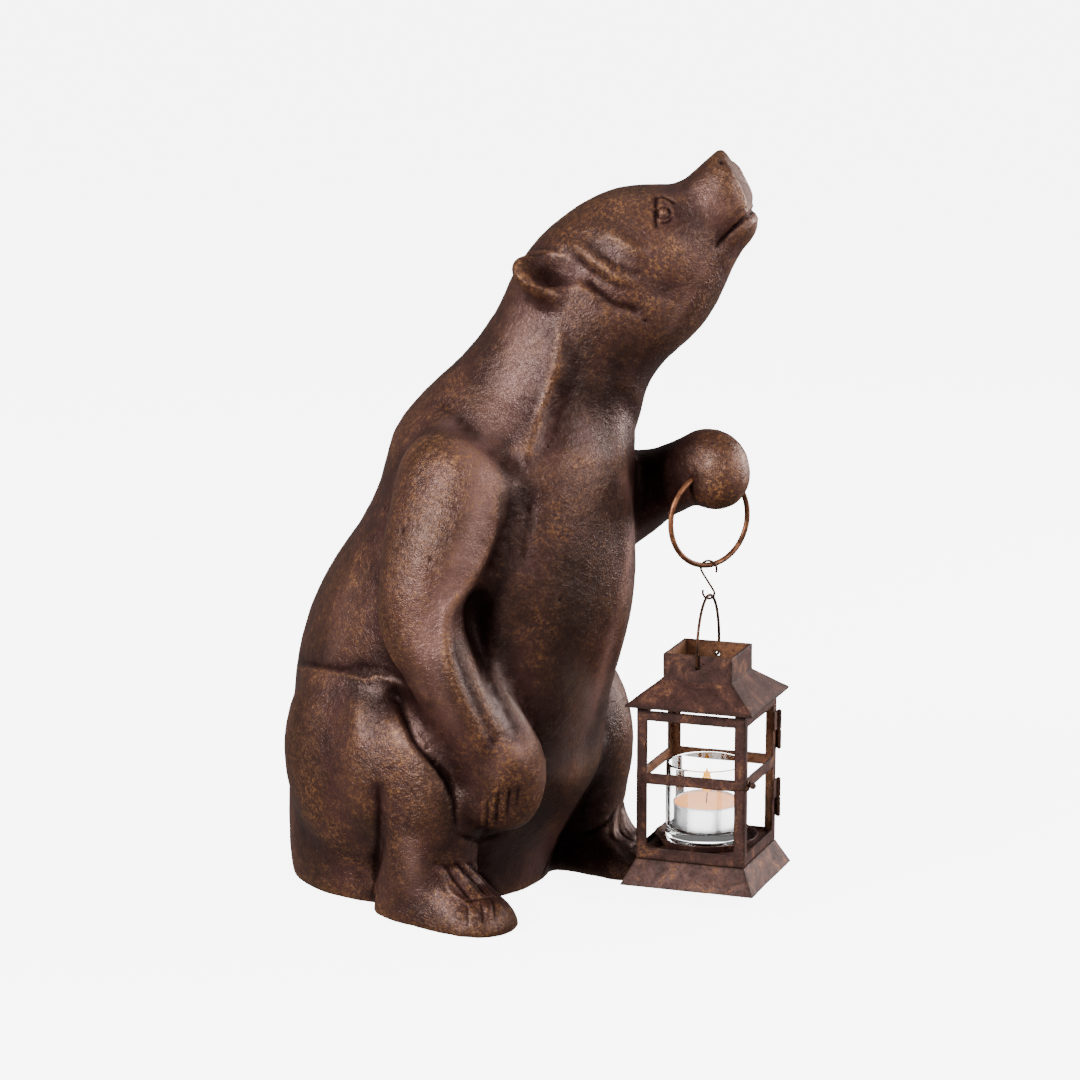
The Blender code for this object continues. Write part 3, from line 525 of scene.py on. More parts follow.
def mirrored(tree, points, kind):
    """The same line on the other side of the body or of the turned head."""
    yaw = HEAD_YAW if kind == "head" else 0
    middle = HEAD_MIDDLE if kind == "head" else Vector()
    across = Vector((-math.sin(yaw), math.cos(yaw), 0))
    return [tree.find_nearest(point - across * 2 * (point - middle).dot(across))[0] for point in points]


def through(points, steps=6):
    """Catmull-Rom curve through a few points."""
    rows = np.array(points, float)
    padded = np.vstack([2 * rows[0] - rows[1], rows, 2 * rows[-1] - rows[-2]])
    result = []
    for before, here, there, after in zip(padded, padded[1:], padded[2:], padded[3:]):
        for way in np.arange(steps) / steps:
            result.append(0.5 * (2 * here + (there - before) * way
                                 + (2 * before - 5 * here + 4 * there - after) * way ** 2
                                 + (3 * here - before - 3 * there + after) * way ** 3))
    return result + [rows[-1]]


def distance_to(places, line):
    """Distance from each place to a polyline, and how far along it the nearest point lies."""
    best = np.full(len(places), np.inf)
    share = np.zeros(len(places))
    count = len(line) - 1
    for index, (start, end) in enumerate(zip(line, line[1:])):
        start, end = np.array(start), np.array(end)
        along = end - start
        way = np.clip((places - start) @ along / max(along @ along, TINY), 0, 1)
        reach = np.linalg.norm(places - start - way[:, None] * along, axis=1)
        closer = reach < best
        best = np.where(closer, reach, best)
        share = np.where(closer, (index + way) / count, share)
    return best, share


def bell(near, half, middle=0):
    """1 where near is the middle value, falling off over a half width on both sides."""
    return np.exp(-((near - middle) / half) ** 2)


# Lines of the carving: pixels of the photograph, depth and half width in millimetres, and whether
# the line is drawn once or again on the other side of the body or of the head
GROOVES = {
    "base of the neck": (((436, 402), (455, 415), (472, 433), (492, 451), (518, 468)), 0.7, 4.5, "body"),
    "throat beside the neck edge": (((578, 340), (574, 380), (560, 420), (545, 466)), 1.2, 5, "once"),
    "forearm, far line": (((474, 606), (479, 638), (489, 670), (503, 702), (518, 730)), 1.2, 3.6, "once"),
    "forearm, near line": (((452, 636), (467, 680), (481, 712), (498, 752)), 1.1, 3.2, "once"),
    "behind the shin": (((378, 785), (378, 830), (375, 866), (370, 906)), 1.0, 2.0, "body"),
    "below the forearm": (((394, 690), (416, 742), (436, 764), (452, 790), (456, 830)), 2.0, 2.0, "once"),
    "waist fold": (((290, 660), (340, 667), (372, 667), (408, 680)), 0.6, 2.4, "body"),
    "cheek fold, upper": (((566, 250), (598, 276), (628, 290)), 0.5, 2.6, "head"),
    "cheek fold, lower": (((584, 278), (611, 301), (640, 312)), 0.9, 2.2, "head"),
    "mouth": (((756, 208), (742, 221), (729, 233), (715, 249)), 1.7, 1.3, "head"),
    "cheek fold, middle": (((596, 252), (622, 268), (646, 276)), 0.6, 2.6, "head"),
    "eye socket, back": (((655.5, 194), (655.5, 211), (657, 229)), 1.9, 1.1, "head"),
    "eye socket, top": (((655, 198), (664, 197), (675, 204)), 1.3, 1.0, "head"),
    "eye socket, bottom": (((659, 223), (667, 222), (673, 216)), 0.9, 0.9, "head"),
    "finger gap, first": (((488, 798), (486, 830)), 0.6, 0.8, "once"),
    "finger gap, second": (((499, 791), (496, 825)), 0.6, 0.8, "once"),
    "finger gap, third": (((510, 788), (507, 818)), 0.6, 0.8, "once"),
    "finger gap, last": (((519, 786), (516, 806)), 0.5, 0.8, "once"),
    "near wrist": (((483, 752), (500, 737), (519, 742), (526, 760)), 0.7, 3.0, "once"),
    "below the near paw": (((456, 834), (480, 841), (502, 834)), 1.2, 2.4, "once"),
    "ankle": (((432, 862), (446, 866), (462, 868)), 1.0, 3.0, "body"),
    "toe gap, first": (((444, 866), (458, 884), (474, 904)), 1.0, 1.1, "body"),
    "toe gap, second": (((455, 862), (472, 879), (489, 898)), 1.0, 1.1, "body"),
    "toe gap, third": (((466, 861), (484, 877), (501, 895)), 0.9, 1.1, "body"),
    "toe knuckles": (((462, 903), (474, 900), (486, 898), (500, 897)), 0.8, 0.9, "body"),
    "claw gap, first": (((466, 903), (468, 914), (468, 926)), 0.9, 0.8, "body"),
    "claw gap, second": (((479, 899), (482, 911), (483, 924)), 0.9, 0.8, "body"),
    "claw gap, third": (((491, 897), (494, 908), (496, 921)), 0.8, 0.8, "body"),
    "breast line": (((532, 496), (527, 530), (522, 566)), 0.5, 3, "once"),
}
RIDGES = {
    "waist fold": (((290, 667), (340, 674), (366, 680), (380, 677), (408, 687)), 0.8, 1.6, "body"),
    "neck edge": (((560, 318), (556, 366), (541, 414), (526, 462)), 1.5, 4.0, "once"),
    "cheek, middle": (((570, 242), (604, 268), (632, 285)), 0.9, 3.2, "head"),
    "cheek, upper": (((602, 230), (628, 246), (650, 258)), 0.9, 3.2, "head"),
    "cheek, lower": (((586, 290), (612, 308), (640, 320)), 0.6, 3.2, "head"),
    "snout rim": (((726, 165), (738, 184), (747, 204)), 0.8, 1.4, "head"),
    "upper lip": (((752, 206), (741, 217), (726, 231)), 0.6, 1.3, "head"),
    "lower lip": (((757, 219), (745, 231), (730, 246)), 0.6, 1.4, "head"),
    "eyelid": (((657, 202), (664, 200), (671, 206), (673, 216)), 0.5, 0.8, "head"),
    "ear rim, upper": (((516, 256), (541, 252), (568, 256)), 0.8, 1.2, "head"),
    "ear rim, lower": (((511, 267), (526, 283), (546, 289), (568, 288)), 0.8, 1.2, "head"),
    "ear root": (((574, 283), (587, 291), (600, 298)), 1.1, 2.6, "head"),
    "inner edge of the near arm": (
        ((500, 480), (489, 543), (466, 588), (447, 616), (450, 668), (468, 713), (486, 756)),
        1.6, 3.4, "once"),
    "toe, first": (((439, 872), (448, 887), (459, 898), (472, 907)), 1.0, 1.2, "body"),
    "toe, second": (((455, 868), (468, 884), (480, 898)), 1.0, 1.2, "body"),
    "toe, third": (((465, 865), (478, 878), (490, 892)), 0.9, 1.2, "body"),
    "claw, first": (((457, 911), (462, 920)), 0.9, 1.6, "body"),
    "claw, second": (((472, 908), (477, 917)), 0.9, 1.6, "body"),
    "claw, third": (((485, 904), (490, 913)), 0.9, 1.6, "body"),
    "claw, last": (((498, 903), (503, 911)), 0.8, 1.6, "body"),
    "first finger": (((484, 797), (482, 828)), 0.8, 0.8, "once"),
    "second finger": (((495, 790), (492, 820)), 0.8, 0.8, "once"),
    "third finger": (((507, 787), (503, 814)), 0.8, 0.8, "once"),
}
# Share of a line over which it fades at each end, and the depth left at its very end
TAPER = 0.3
END_DEPTH = 0.12

# Strokes of painted highlight, of gold in the patina and of painted shade: pixels, half width in
# millimetres and strength
PAINTED_LIGHT_AND_GILT = {
    # Painted highlights, drawn in strokes where light falls brightest
    "painted_highlight": {
        "neck": (((522, 318), (516, 356), (506, 396), (494, 424)), 12, 0.55),
        "upper arm": (((474, 446), (487, 480), (483, 522), (464, 562), (447, 604), (426, 648)), 8.5, 1.3),
        "near forearm": (((424, 640), (438, 690), (450, 720)), 7, 0.5),
        "far side of the chest": (((626, 478), (633, 520), (627, 570), (608, 650), (592, 720)), 6, 0.9),
        "near wrist": (((494, 770), (504, 752), (520, 750)), 5, 0.5),
        "near elbow": (((420, 588), (412, 640), (424, 690)), 6, 0.4),
        "muzzle": (((700, 188), (716, 208)), 6, 0.6),
        "knee": (((404, 736), (432, 748)), 8, 0.35),
        "raised paw": (((736, 458), (742, 490)), 6, 0.5),
        "shin": (((408, 846), (413, 886)), 6, 0.7),
        "back": (((352, 590), (336, 650)), 10, 0.35),
        "near shoulder": (((450, 424), (474, 446)), 7, 0.6),
        "jaw": (((704, 268), (672, 326)), 5, 0.5),
        "snout rim": (((736, 170), (752, 204)), 4, 0.5),
    },
    "gold": {
        "forehead": (((556, 246), (590, 224), (622, 200)), 8, 0.8),
        "cheek": (((606, 272), (648, 266), (674, 248)), 7, 0.8),
        "jaw": (((618, 292), (652, 304)), 4, 0.7),
        "ear": (((522, 268), (540, 276)), 4, 0.6),
        "nape": (((456, 378), (440, 412)), 8, 0.45),
        "shoulder blade": (((430, 440), (412, 492)), 8, 0.5),
        "back": (((362, 560), (340, 640)), 9, 0.55),
        "haunch": (((314, 790), (340, 856)), 12, 0.5),
        "thigh": (((384, 736), (400, 786)), 8, 0.6),
        "shin": (((392, 820), (400, 872)), 7, 0.6),
        "toes": (((438, 896), (500, 916)), 5, 0.8),
        "toe, first": (((437, 862), (452, 884), (468, 904)), 1.4, 1.2),
        "toe, second": (((449, 862), (465, 881), (481, 901)), 1.4, 1.2),
        "toe, third": (((460, 860), (478, 878), (495, 897)), 1.4, 1.2),
        "first finger": (((484, 797), (482, 830)), 1.6, 1.4),
        "second finger": (((494, 790), (491, 824)), 1.6, 1.4),
        "third finger": (((505, 787), (502, 818)), 1.6, 1.4),
        "palm line": (((696, 496), (704, 501)), 1.2, 1.0),
        "raised paw": (((716, 484), (738, 500)), 5, 0.8),
        "breast": (((556, 516), (572, 566)), 7, 0.45),
        "belly": (((548, 620), (540, 680)), 9, 0.5),
        "near wrist": (((486, 716), (502, 772)), 6, 0.5),
    },
    # Painted shade, drawn in strokes where shade falls on the throat, breast, belly and under the limbs
    "painted_shade": {
        "throat, near side": (((590, 330), (580, 390), (566, 440)), 9, 0.6),
        "throat, far side": (((622, 350), (608, 400), (606, 440)), 9, 0.6),
        "breast beside the near arm": (((506, 440), (500, 500), (492, 560)), 3, 0.6),
        "breast": (((528, 470), (516, 560)), 8, 0.35),
        "belly": (((574, 560), (564, 690), (540, 810), (500, 870)), 17, 0.85),
        "behind the near paw": (((446, 800), (452, 836), (444, 850)), 5, 0.6),
        "inner forearm": (((458, 650), (472, 700), (492, 752)), 4.5, 0.4),
        "foot's rim": (((396, 904), (448, 918), (504, 918)), 8, 0.5),
        "ankle": (((400, 880), (440, 888)), 7, 0.35),
        "chest": (((530, 500), (536, 560), (530, 620)), 12, 0.35),
        "haunch's edge": (((300, 700), (302, 850)), 6, 0.4),
        "flank under the arm": (((498, 640), (512, 700)), 8, 0.7),
        "far thigh": (((572, 850), (600, 770), (612, 720)), 8, 0.6),
        "inner elbow": (((470, 622), (484, 670), (500, 706)), 4, 0.8),
    },
}
# Places of the small round forms, in pixels of the photograph
EYE = (663.5, 211.5)
NOSTRIL = (722, 161)
PITS = ((394, 489), (384, 508), (402, 530), (427, 748), (435, 762), (560, 600), (430, 560), (645, 321))
# Their sizes in millimetres: height or depth, half width, and radius of what is a ring
EYEBALL = (1.0, 2.6)
EYE_SOCKET = (1.3, 0.8, 3.6)
IRIS = (0.5, 0.4, 1.3)
NOSTRIL_HOLE = (2.0, 2.2)
PIT = (0.8, 1.2)

# Relief of the casting: noise to a metre, and heights in millimetres
WANDER_WAVES, WANDER = 160, 0.55
BROAD_WAVES, BROAD_HEIGHT = 45, 0.35
FINE_WAVES, FINE_HEIGHT = 190, 0.16
FINE_SHIFT = Vector((3, 1, 2))

# A ball at the top of the ring that fills the raised paw round it, so that the skin closes there
PLUG_SHIFT = Vector((3, 2, -2)) * MM
PLUG_SIZE = (13 * MM, 13 * MM, 18 * MM, 1)

# Passes of smoothing: of the rebuilt skin, and for the near and the far surroundings of a point
SKIN_PASSES = 22
NEAR_PASSES = 8
FAR_PASSES = 110
# Hollow points are darkened: darker patina in the creases, painted shade in the deep hollows
# Depth or height in millimetres that counts in full, and its weight
NEAR_HOLLOW = (0.3, 0.6)
FAR_HOLLOW = (2.4, 0.35)
NEAR_WORN = (0.25, 0.45)
FAR_WORN = (2.2, 0.3)
# Shelter from the sky is painted as shade
# Share of the sky from which shelter counts, the further share that counts in full, and its weight
CLOSED_FROM = 0.12
CLOSED_HOLLOW = (0.5, 0.85)
# Rays that look for shelter: their number, start, reach, and turn from one to the next
SKY_RAYS, QUICK_RAYS = 20, 6
RAY_START = 0.6 * MM
RAY_REACH = 70 * MM
RAY_TURN = 2.39996


def carve_lines(places, tree, amount):
    """Press in the grooves and raise the ridges, each fading out at its ends."""
    lift = np.zeros(len(places))
    for sign, lines in ((-1, GROOVES), (1, RIDGES)):
        for pixels, depth, half, kind in lines.values():
            line = [touch(tree, pixel) for pixel in through(pixels)]
            copies = [line] if kind == "once" else [line, mirrored(tree, line, kind)]
            for copy in copies:
                corners = np.array(copy)
                reach = 3 * half * MM
                close = ((places > corners.min(0) - reach) & (places < corners.max(0) + reach)).all(1)
                spots = np.flatnonzero(close)
                near, share = distance_to(places[spots], copy)
                fade = np.clip(np.minimum(share, 1 - share) / TAPER, 0, 1)
                fade = END_DEPTH + (1 - END_DEPTH) * fade * (2 - fade)
                lift[spots] += sign * depth * amount * MM * fade * bell(near, half * MM)
    return lift


def away_from(places, spot):
    """Distance from each place to a spot, in millimetres."""
    return np.linalg.norm(places - np.array(spot), axis=1) / MM


def both_sides(tree, pixel):
    """A point of the head and its like on the other side."""
    spot = touch(tree, pixel)
    return spot, mirrored(tree, [spot], "head")[0]


def carve_points(places, tree, amount):
    """Eyes, nostrils and casting pits."""
    lift = np.zeros(len(places))
    for spot in both_sides(tree, EYE):
        near = away_from(places, spot)
        height, half = EYEBALL
        lift += amount * MM * (height * np.exp(-(near / half) ** 4)
                               - EYE_SOCKET[0] * bell(near, *EYE_SOCKET[1:])
                               - IRIS[0] * bell(near, *IRIS[1:]))
    holes = [(spot, *NOSTRIL_HOLE) for spot in both_sides(tree, NOSTRIL)]
    holes += [(touch(tree, pixel), *PIT) for pixel in PITS]
    for spot, depth, half in holes:
        lift -= depth * amount * MM * bell(away_from(places, spot), half)
    return lift


def wandering(places):
    """The places, pushed about a little so that drawn lines look hand-made."""
    shifted = np.empty_like(places)
    for row, place in enumerate(places):
        shifted[row] = noise.noise_vector(Vector(place) * WANDER_WAVES)
    return places + shifted * WANDER * MM


def wrinkles(places):
    """Small uneven relief of the casting, in metres along the normal."""
    relief = np.empty(len(places))
    for row, place in enumerate(places):
        broad = noise.noise(Vector(place) * BROAD_WAVES)
        fine = noise.noise(Vector(place) * FINE_WAVES + FINE_SHIFT)
        relief[row] = BROAD_HEIGHT * broad + FINE_HEIGHT * fine
    return relief * MM


def set_attribute(mesh, name, values):
    """Store a value for each point of the mesh."""
    layer = mesh.attributes.new(name, "FLOAT", "POINT")
    layer.data.foreach_set("value", np.asarray(values, dtype=np.float32))


def shelter(places, normals, tree, rays):
    """How much of the sky over each point is closed off by the figure itself."""
    turns = [(math.sqrt((ray + 0.5) / rays), ray * RAY_TURN) for ray in range(rays)]
    spread = [Vector((out * math.cos(turn), out * math.sin(turn), math.sqrt(1 - out * out)))
              for out, turn in turns]
    closed = np.zeros(len(places))
    for row, (place, normal) in enumerate(zip(places, normals)):
        up = Vector(normal)
        start = Vector(place) + up * RAY_START
        lean = up.to_track_quat("Z", "Y")
        closed[row] = sum(tree.ray_cast(start, lean @ way, RAY_REACH)[0] is not None for way in spread)
    return closed / rays


def counted(values, full, weight):
    """Values as shares of a full one, clipped and weighted."""
    return np.clip(values / full, 0, 1) * weight


def mark_hollows(mesh, places, tree):
    """Store how hollow and how proud each point of the skin lies; hollow and sheltered points take darker
    patina and painted shade.
    """
    edges, normals = edges_of(mesh), normals_of(mesh)
    near = smoothed(places, edges, NEAR_PASSES)
    far = smoothed(near, edges, FAR_PASSES)
    small = ((near - places) * normals).sum(1) / MM
    large = ((far - places) * normals).sum(1) / MM
    # Shelter from the sky, painted as shade through the hollow value
    closed = shelter(places, normals, tree, SKY_RAYS)
    closed = smoothed(closed[:, None].repeat(3, axis=1), edges, NEAR_PASSES)[:, 0]
    hollow = (counted(small, *NEAR_HOLLOW) + counted(large, *FAR_HOLLOW)
              + counted(closed - CLOSED_FROM, *CLOSED_HOLLOW))
    worn = counted(-small, *NEAR_WORN) + counted(-large, *FAR_WORN)
    set_attribute(mesh, "hollow", np.clip(hollow, 0, 1))
    set_attribute(mesh, "worn", np.clip(worn - closed, 0, 1))


def paint_light_and_gilt(mesh, places, tree):
    """Store where highlights and shade are painted and where the patina is gilt."""
    for name, strokes in PAINTED_LIGHT_AND_GILT.items():
        total = np.zeros(len(places))
        for pixels, half, strength in strokes.values():
            near = distance_to(places, [touch(tree, pixel) for pixel in pixels])[0]
            total = np.maximum(total, strength * bell(near, half * MM))
        set_attribute(mesh, name, total)


def bear_form(grain):
    """The CAD figure with its raised paw filled round the ring, rebuilt from even squares."""
    bm = node_copy("bear")
    low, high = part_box("ring")
    top = Vector(((low.x + high.x) / 2, (low.y + high.y) / 2, high.z))
    plug = Matrix.Translation(top + PLUG_SHIFT) @ Matrix.Diagonal(PLUG_SIZE)
    bmesh.ops.create_uvsphere(bm, u_segments=24, v_segments=16, radius=1, matrix=plug)
    return with_modifier(mesh_from("bear_form", bm), "REMESH", mode="VOXEL", voxel_size=grain)


def carved(mesh, places, amount):
    """The places, moved along the skin's normals by the carving and the relief of the casting."""
    tree, normals = search_tree(mesh, places), normals_of(mesh)
    lift = carve_lines(wandering(places), tree, amount)
    lift += carve_points(places, tree, amount)
    lift += wrinkles(places)
    return places + normals * lift[:, None]


class OBJECT_OT_bear_skin(bpy.types.Operator):
    """Rebuild the cast figure's skin with its fine carving"""
    bl_idname = "object.bear_skin"
    bl_label = "Bear Skin"

    def execute(self, context):
        settings = context.scene.bear
        mesh = bear_form(settings.grain)
        places = smoothed(points_of(mesh), edges_of(mesh), SKIN_PASSES)
        place_points(mesh, places)
        place_points(mesh, carved(mesh, places, settings.carving))
        mesh = with_modifier(mesh, "DECIMATE", ratio=settings.faces / (2 * len(mesh.polygons)))
        places = points_of(mesh)
        place_points(mesh, places)
        tree = search_tree(mesh, places)
        mark_hollows(mesh, places, tree)
        paint_light_and_gilt(mesh, places, tree)
        mesh.shade_smooth()
        mesh.materials.clear()
        mesh.materials.append(bear_patina_and_painted_light(settings))
        piece = linked("bear_skin", mesh)
        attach(piece, "figure")
        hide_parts("bear")
        return {"FINISHED"}


# Sheet, wire and turned pieces

# Least turn of a sharp edge, and largest turn of one that only joins flat faces
SHARP_TURN = math.radians(25)
FLAT_TURN = math.radians(1)
# Noise of the dents to a metre, broad and fine, with the share of each
DENT_WAVES = ((28, 0.7), (112, 0.3))
SEAM_HALF = 0.8 * MM
# How much darker the dull wire is, and how much of a profile's side a rounded corner may take
DULL = 0.25
NEARLY_HALF = 0.48

# CAD node, piece and body of the sheets and of the small hardware
PLATES = (("lantern_roof", "roof_sheet", "lantern"), ("lantern_frame", "frame_sheet", "lantern"),
          ("lantern_base", "base_sheet", "lantern"), ("lantern_floor", "floor_sheet", "lantern"),
          ("door", "door_sheet", "door"))
HARDWARE = (("door_leaf_1", "door_plate_1", "door"), ("door_leaf_2", "door_plate_2", "door"),
            ("post_leaf_1", "post_plate_1", "lantern"), ("post_leaf_2", "post_plate_2", "lantern"),
            ("hinge_pin_1", "pin_1", "lantern"), ("hinge_pin_2", "pin_2", "lantern"),
            ("door_knob", "knob", "door"))

# Profiles of the turned pieces, from the axis out and back: share of the radius and shift in
# millimetres, then 0 for the lower or 1 for the upper end and shift in millimetres
DISH = ((0, 0, 0, 0), (1, -2.4, 0, 0), (1, 0, 1, -0.4), (1, 0, 1, 0), (1, -1, 1, 0), (1, -3, 0, 1),
        (0, 0, 0, 1))
GLASS = ((0, 0, 0, 1.2), (0.55, 0, 0, 1), (0.75, 0, 0, 0), (1, 0, 0, 0), (1, 0, 1, 0),
         (1, -1.7, 1, 0), (1, -1.7, 0, 7), (0, 0, 0, 6.6))
FOIL = ((0, 0, 0, 0.5), (0.8, 0, 0, 0.5), (0.9, 0, 0, 0), (1, -0.5, 0, 0.2), (1, -0.35, 1, -0.9),
        (1, 0, 1, -0.6), (1, 0, 1, -0.1), (1, -0.3, 1, 0), (1, -0.7, 1, -0.5), (1, -0.85, 0, 0.6),
        (0, 0, 0, 0.6))
WAX = ((0, 0, 0, 0), (1, 0, 0, 0), (1, 0, 1, 0), (1, -1.2, 1, -0.3), (0.55, 0, 1, -0.9),
       (0.2, 0, 1, -1.1), (0, 0, 1, -1.1))
WICK = ((0, 0, 0, -1), (0, 0.45, 0, -1), (0, 0.45, 1, 0), (0, 0, 1, 0))
# Creases round the foil and the wick: how many, and their depth as a share of the radius
FOIL_FLUTES = (36, 0.0007)
WICK_FLUTES = (5, 0.15)
# The wick's edges are cut where longer than its grain; it leans by a share of its rise squared
# over a length
WICK_GRAIN = 2 * MM
WICK_LEAN = 0.12
WICK_LENGTH = 5 * MM
# The flame: radius, where its belly lies, how it narrows, gap to the wick, rows, and heat's reach
FLAME_RADIUS = 3.8 * MM
FLAME_BELLY = 0.62
FLAME_NARROWING = 0.35
FLAME_GAP = 0.2 * MM
FLAME_ROWS = 18
HEAT_REACH = 0.5


def finely_cut(bm, longest):
    """Triangulate, then halve the edges until none is longer than a length."""
    bmesh.ops.triangulate(bm, faces=bm.faces[:])
    for _ in range(7):
        long_edges = [edge for edge in bm.edges if edge.calc_length() > longest]
        if not long_edges:
            break
        bmesh.ops.subdivide_edges(bm, edges=long_edges, cuts=1)
        bmesh.ops.triangulate(bm, faces=bm.faces[:])


def dented(bm, dent, low, high):
    """Push the points about by noise, but not out of a box."""
    for vert in bm.verts:
        shift = Vector()
        for waves, share in DENT_WAVES:
            shift += Vector(noise.noise_vector(vert.co * waves)) * share
        moved = vert.co + shift * dent
        vert.co = [min(max(value, bottom), top) for value, bottom, top in zip(moved, low, high)]


def mark_sheet(mesh, lines):
    """Store how near to a sharp edge each point lies, and how far it faces the lantern's inside."""
    places, normals = points_of(mesh), normals_of(mesh)
    near = np.full(len(places), np.inf)
    for line in lines:
        near = np.minimum(near, distance_to(places, line)[0])
    set_attribute(mesh, "seam", bell(near, SEAM_HALF))
    to_middle = np.array(LANTERN_MIDDLE)[:2] - places[:, :2]
    inward = (to_middle * normals[:, :2]).sum(1)
    reach = np.linalg.norm(to_middle, axis=1) + TINY
    set_attribute(mesh, "inside", np.clip(inward / reach * 2, 0, 1))


def sheet_piece(node_name, name, body, finish, rounding, longest, dent):
    """A CAD sheet node with rounded, slightly uneven edges and dark seams."""
    low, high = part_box(node_name)
    bm = node_copy(node_name)
    bmesh.ops.dissolve_limit(bm, angle_limit=FLAT_TURN, verts=bm.verts[:], edges=bm.edges[:])
    sharp = [edge for edge in bm.edges
             if len(edge.link_faces) == 2 and edge.calc_face_angle(0) > SHARP_TURN]
    lines = [[vert.co.copy() for vert in edge.verts] for edge in sharp]
    bmesh.ops.bevel(bm, geom=sharp, offset=rounding, segments=2, profile=0.5, affect="EDGES",
                    material=-1, clamp_overlap=True)
    finely_cut(bm, longest)
    bmesh.ops.remove_doubles(bm, verts=bm.verts[:], dist=WELD)
    bmesh.ops.recalc_face_normals(bm, faces=bm.faces[:])
    dented(bm, dent, low, high)
    piece = finish_piece(name, bm, body, finish, (node_name,))
    mark_sheet(piece.data, lines)


def wire_piece(node_name, name, body, finish):
    """A CAD wire, smoothly round."""
    bm = node_copy(node_name)
    bmesh.ops.recalc_face_normals(bm, faces=bm.faces[:])
    mesh = with_modifier(mesh_from("wire_form", bm), "SUBSURF", levels=2, render_levels=2)
    bm = bmesh.new()
    bm.from_mesh(mesh)
    finish_piece(name, bm, body, finish, (node_name,), smooth_angle=60)


def lathe(profile, steps, flutes=0, depth=0.0):
    """A closed profile of (radius, height) points turned round the lantern's axis."""
    bm = bmesh.new()
    points = [bm.verts.new((radius, 0, height)) for radius, height in profile]
    edges = [bm.edges.new(pair) for pair in zip(points, points[1:])]
    bmesh.ops.spin(bm, geom=points + edges, cent=(0, 0, 0), axis=(0, 0, 1), angle=math.tau,
                   steps=steps, use_merge=True)
    bmesh.ops.remove_doubles(bm, verts=bm.verts[:], dist=TURNED_WELD)
    if flutes:
        for vert in bm.verts:
            angle = math.atan2(vert.co.y, vert.co.x)
            vert.co.xy = vert.co.xy * (1 - depth * (0.5 + 0.5 * math.cos(flutes * angle)))
    bmesh.ops.recalc_face_normals(bm, faces=bm.faces[:])
    bm.transform(LANTERN_PLACE)
    return bm


def rounded(profile, radius, steps):
    """Round the inner corners of a profile by a radius."""
    result = [profile[0]]
    for before, here, after in zip(profile, profile[1:], profile[2:]):
        corner = Vector(here)
        back, ahead = Vector(before) - corner, Vector(after) - corner
        reach = min(radius, back.length * NEARLY_HALF, ahead.length * NEARLY_HALF)
        start, end = corner + back.normalized() * reach, corner + ahead.normalized() * reach
        for step in range(steps + 1):
            way = step / steps
            result.append(tuple(start * (1 - way) ** 2 + corner * 2 * way * (1 - way) + end * way ** 2))
    return result + [profile[-1]]


def half_width(node_name):
    """Radius of a round node, read from its own corners."""
    middle = LANTERN_MIDDLE
    return max(math.hypot(vert.co.x - middle.x, vert.co.y - middle.y)
               for vert in frame["nodes"][node_name].data.vertices)


def turned(node_name, rows, corner, corner_steps=4, steps=72, flutes=(0, 0)):
    """A round node's own profile with rounded corners, turned round the lantern's axis."""
    low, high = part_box(node_name)
    radius, ends = half_width(node_name), (low.z, high.z)
    profile = [(radius * share + shift * MM, ends[end] + lift * MM) for share, shift, end, lift in rows]
    return lathe(rounded(profile, corner, corner_steps), steps, *flutes)


class OBJECT_OT_bear_sheet(bpy.types.Operator):
    """The lantern's roof, frame, base, floor, door, dish and hinge leaves"""
    bl_idname = "object.bear_sheet"
    bl_label = "Lantern Sheet"

    def execute(self, context):
        settings = context.scene.lantern
        finish = rusted_sheet(settings)
        longest = settings.weave * 1
        for names in PLATES:
            sheet_piece(*names, finish, settings.edge, longest, settings.dent)
        for names in HARDWARE:
            sheet_piece(*names, finish, settings.edge / 2, longest, 0)
        dish = turned("dish", DISH, corner=0.6 * MM)
        finish_piece("dish_round", dish, "lantern", finish, ("dish",))
        return {"FINISHED"}


class OBJECT_OT_bear_wires(bpy.types.Operator):
    """The ring, the hook, the bail and the latch's loop"""
    bl_idname = "object.bear_wires"
    bl_label = "Wires"

    def execute(self, context):
        settings = context.scene.lantern
        bright = stained_wire("copper_wire", settings.copper)
        dull = stained_wire("dull_wire", shade(settings.copper, DULL))
        for node_name, name, body, finish in (("ring", "ring_wire", "figure", bright),
                                              ("s_hook", "hook_wire", "figure", dull),
                                              ("bail", "bail_wire", "figure", dull),
                                              ("latch_loop", "loop_wire", "lantern", dull)):
            wire_piece(node_name, name, body, finish)
        return {"FINISHED"}


def glass_piece():
    """The thick-bottomed glass."""
    bm = turned("glass_cup", GLASS, corner=1.3 * MM, corner_steps=6, steps=96)
    finish_piece("glass_clear", bm, "lantern", clear_glass(), ("glass_cup",))


def foil_piece():
    """The candle's metal cup, faintly fluted."""
    bm = turned("candle_cup", FOIL, corner=0.25 * MM, corner_steps=3, steps=144, flutes=FOIL_FLUTES)
    finish_piece("foil_cup", bm, "lantern", candle_foil(), ("candle_cup",),
                 smooth_angle=50)


def wax_piece():
    """The wax, hollowed round its wick."""
    bm = turned("candle_wax", WAX, corner=0.8 * MM)
    finish_piece("wax_pool", bm, "lantern", lit_wax(), ("candle_wax",), smooth_angle=60)


def wick_piece():
    """The wick, leaning a little to one side."""
    bm = turned("wick", WICK, corner=0.3 * MM, steps=20, flutes=WICK_FLUTES)
    tall = [edge for edge in bm.edges if edge.calc_length() > WICK_GRAIN]
    bmesh.ops.subdivide_edges(bm, edges=tall, cuts=7)
    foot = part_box("wick")[0].z
    for vert in bm.verts:
        rise = max(vert.co.z - foot, 0)
        vert.co.x += WICK_LEAN * rise ** 2 / WICK_LENGTH
    finish_piece("burnt_wick", bm, "lantern", charred_wick(), ("wick",), smooth_angle=60)


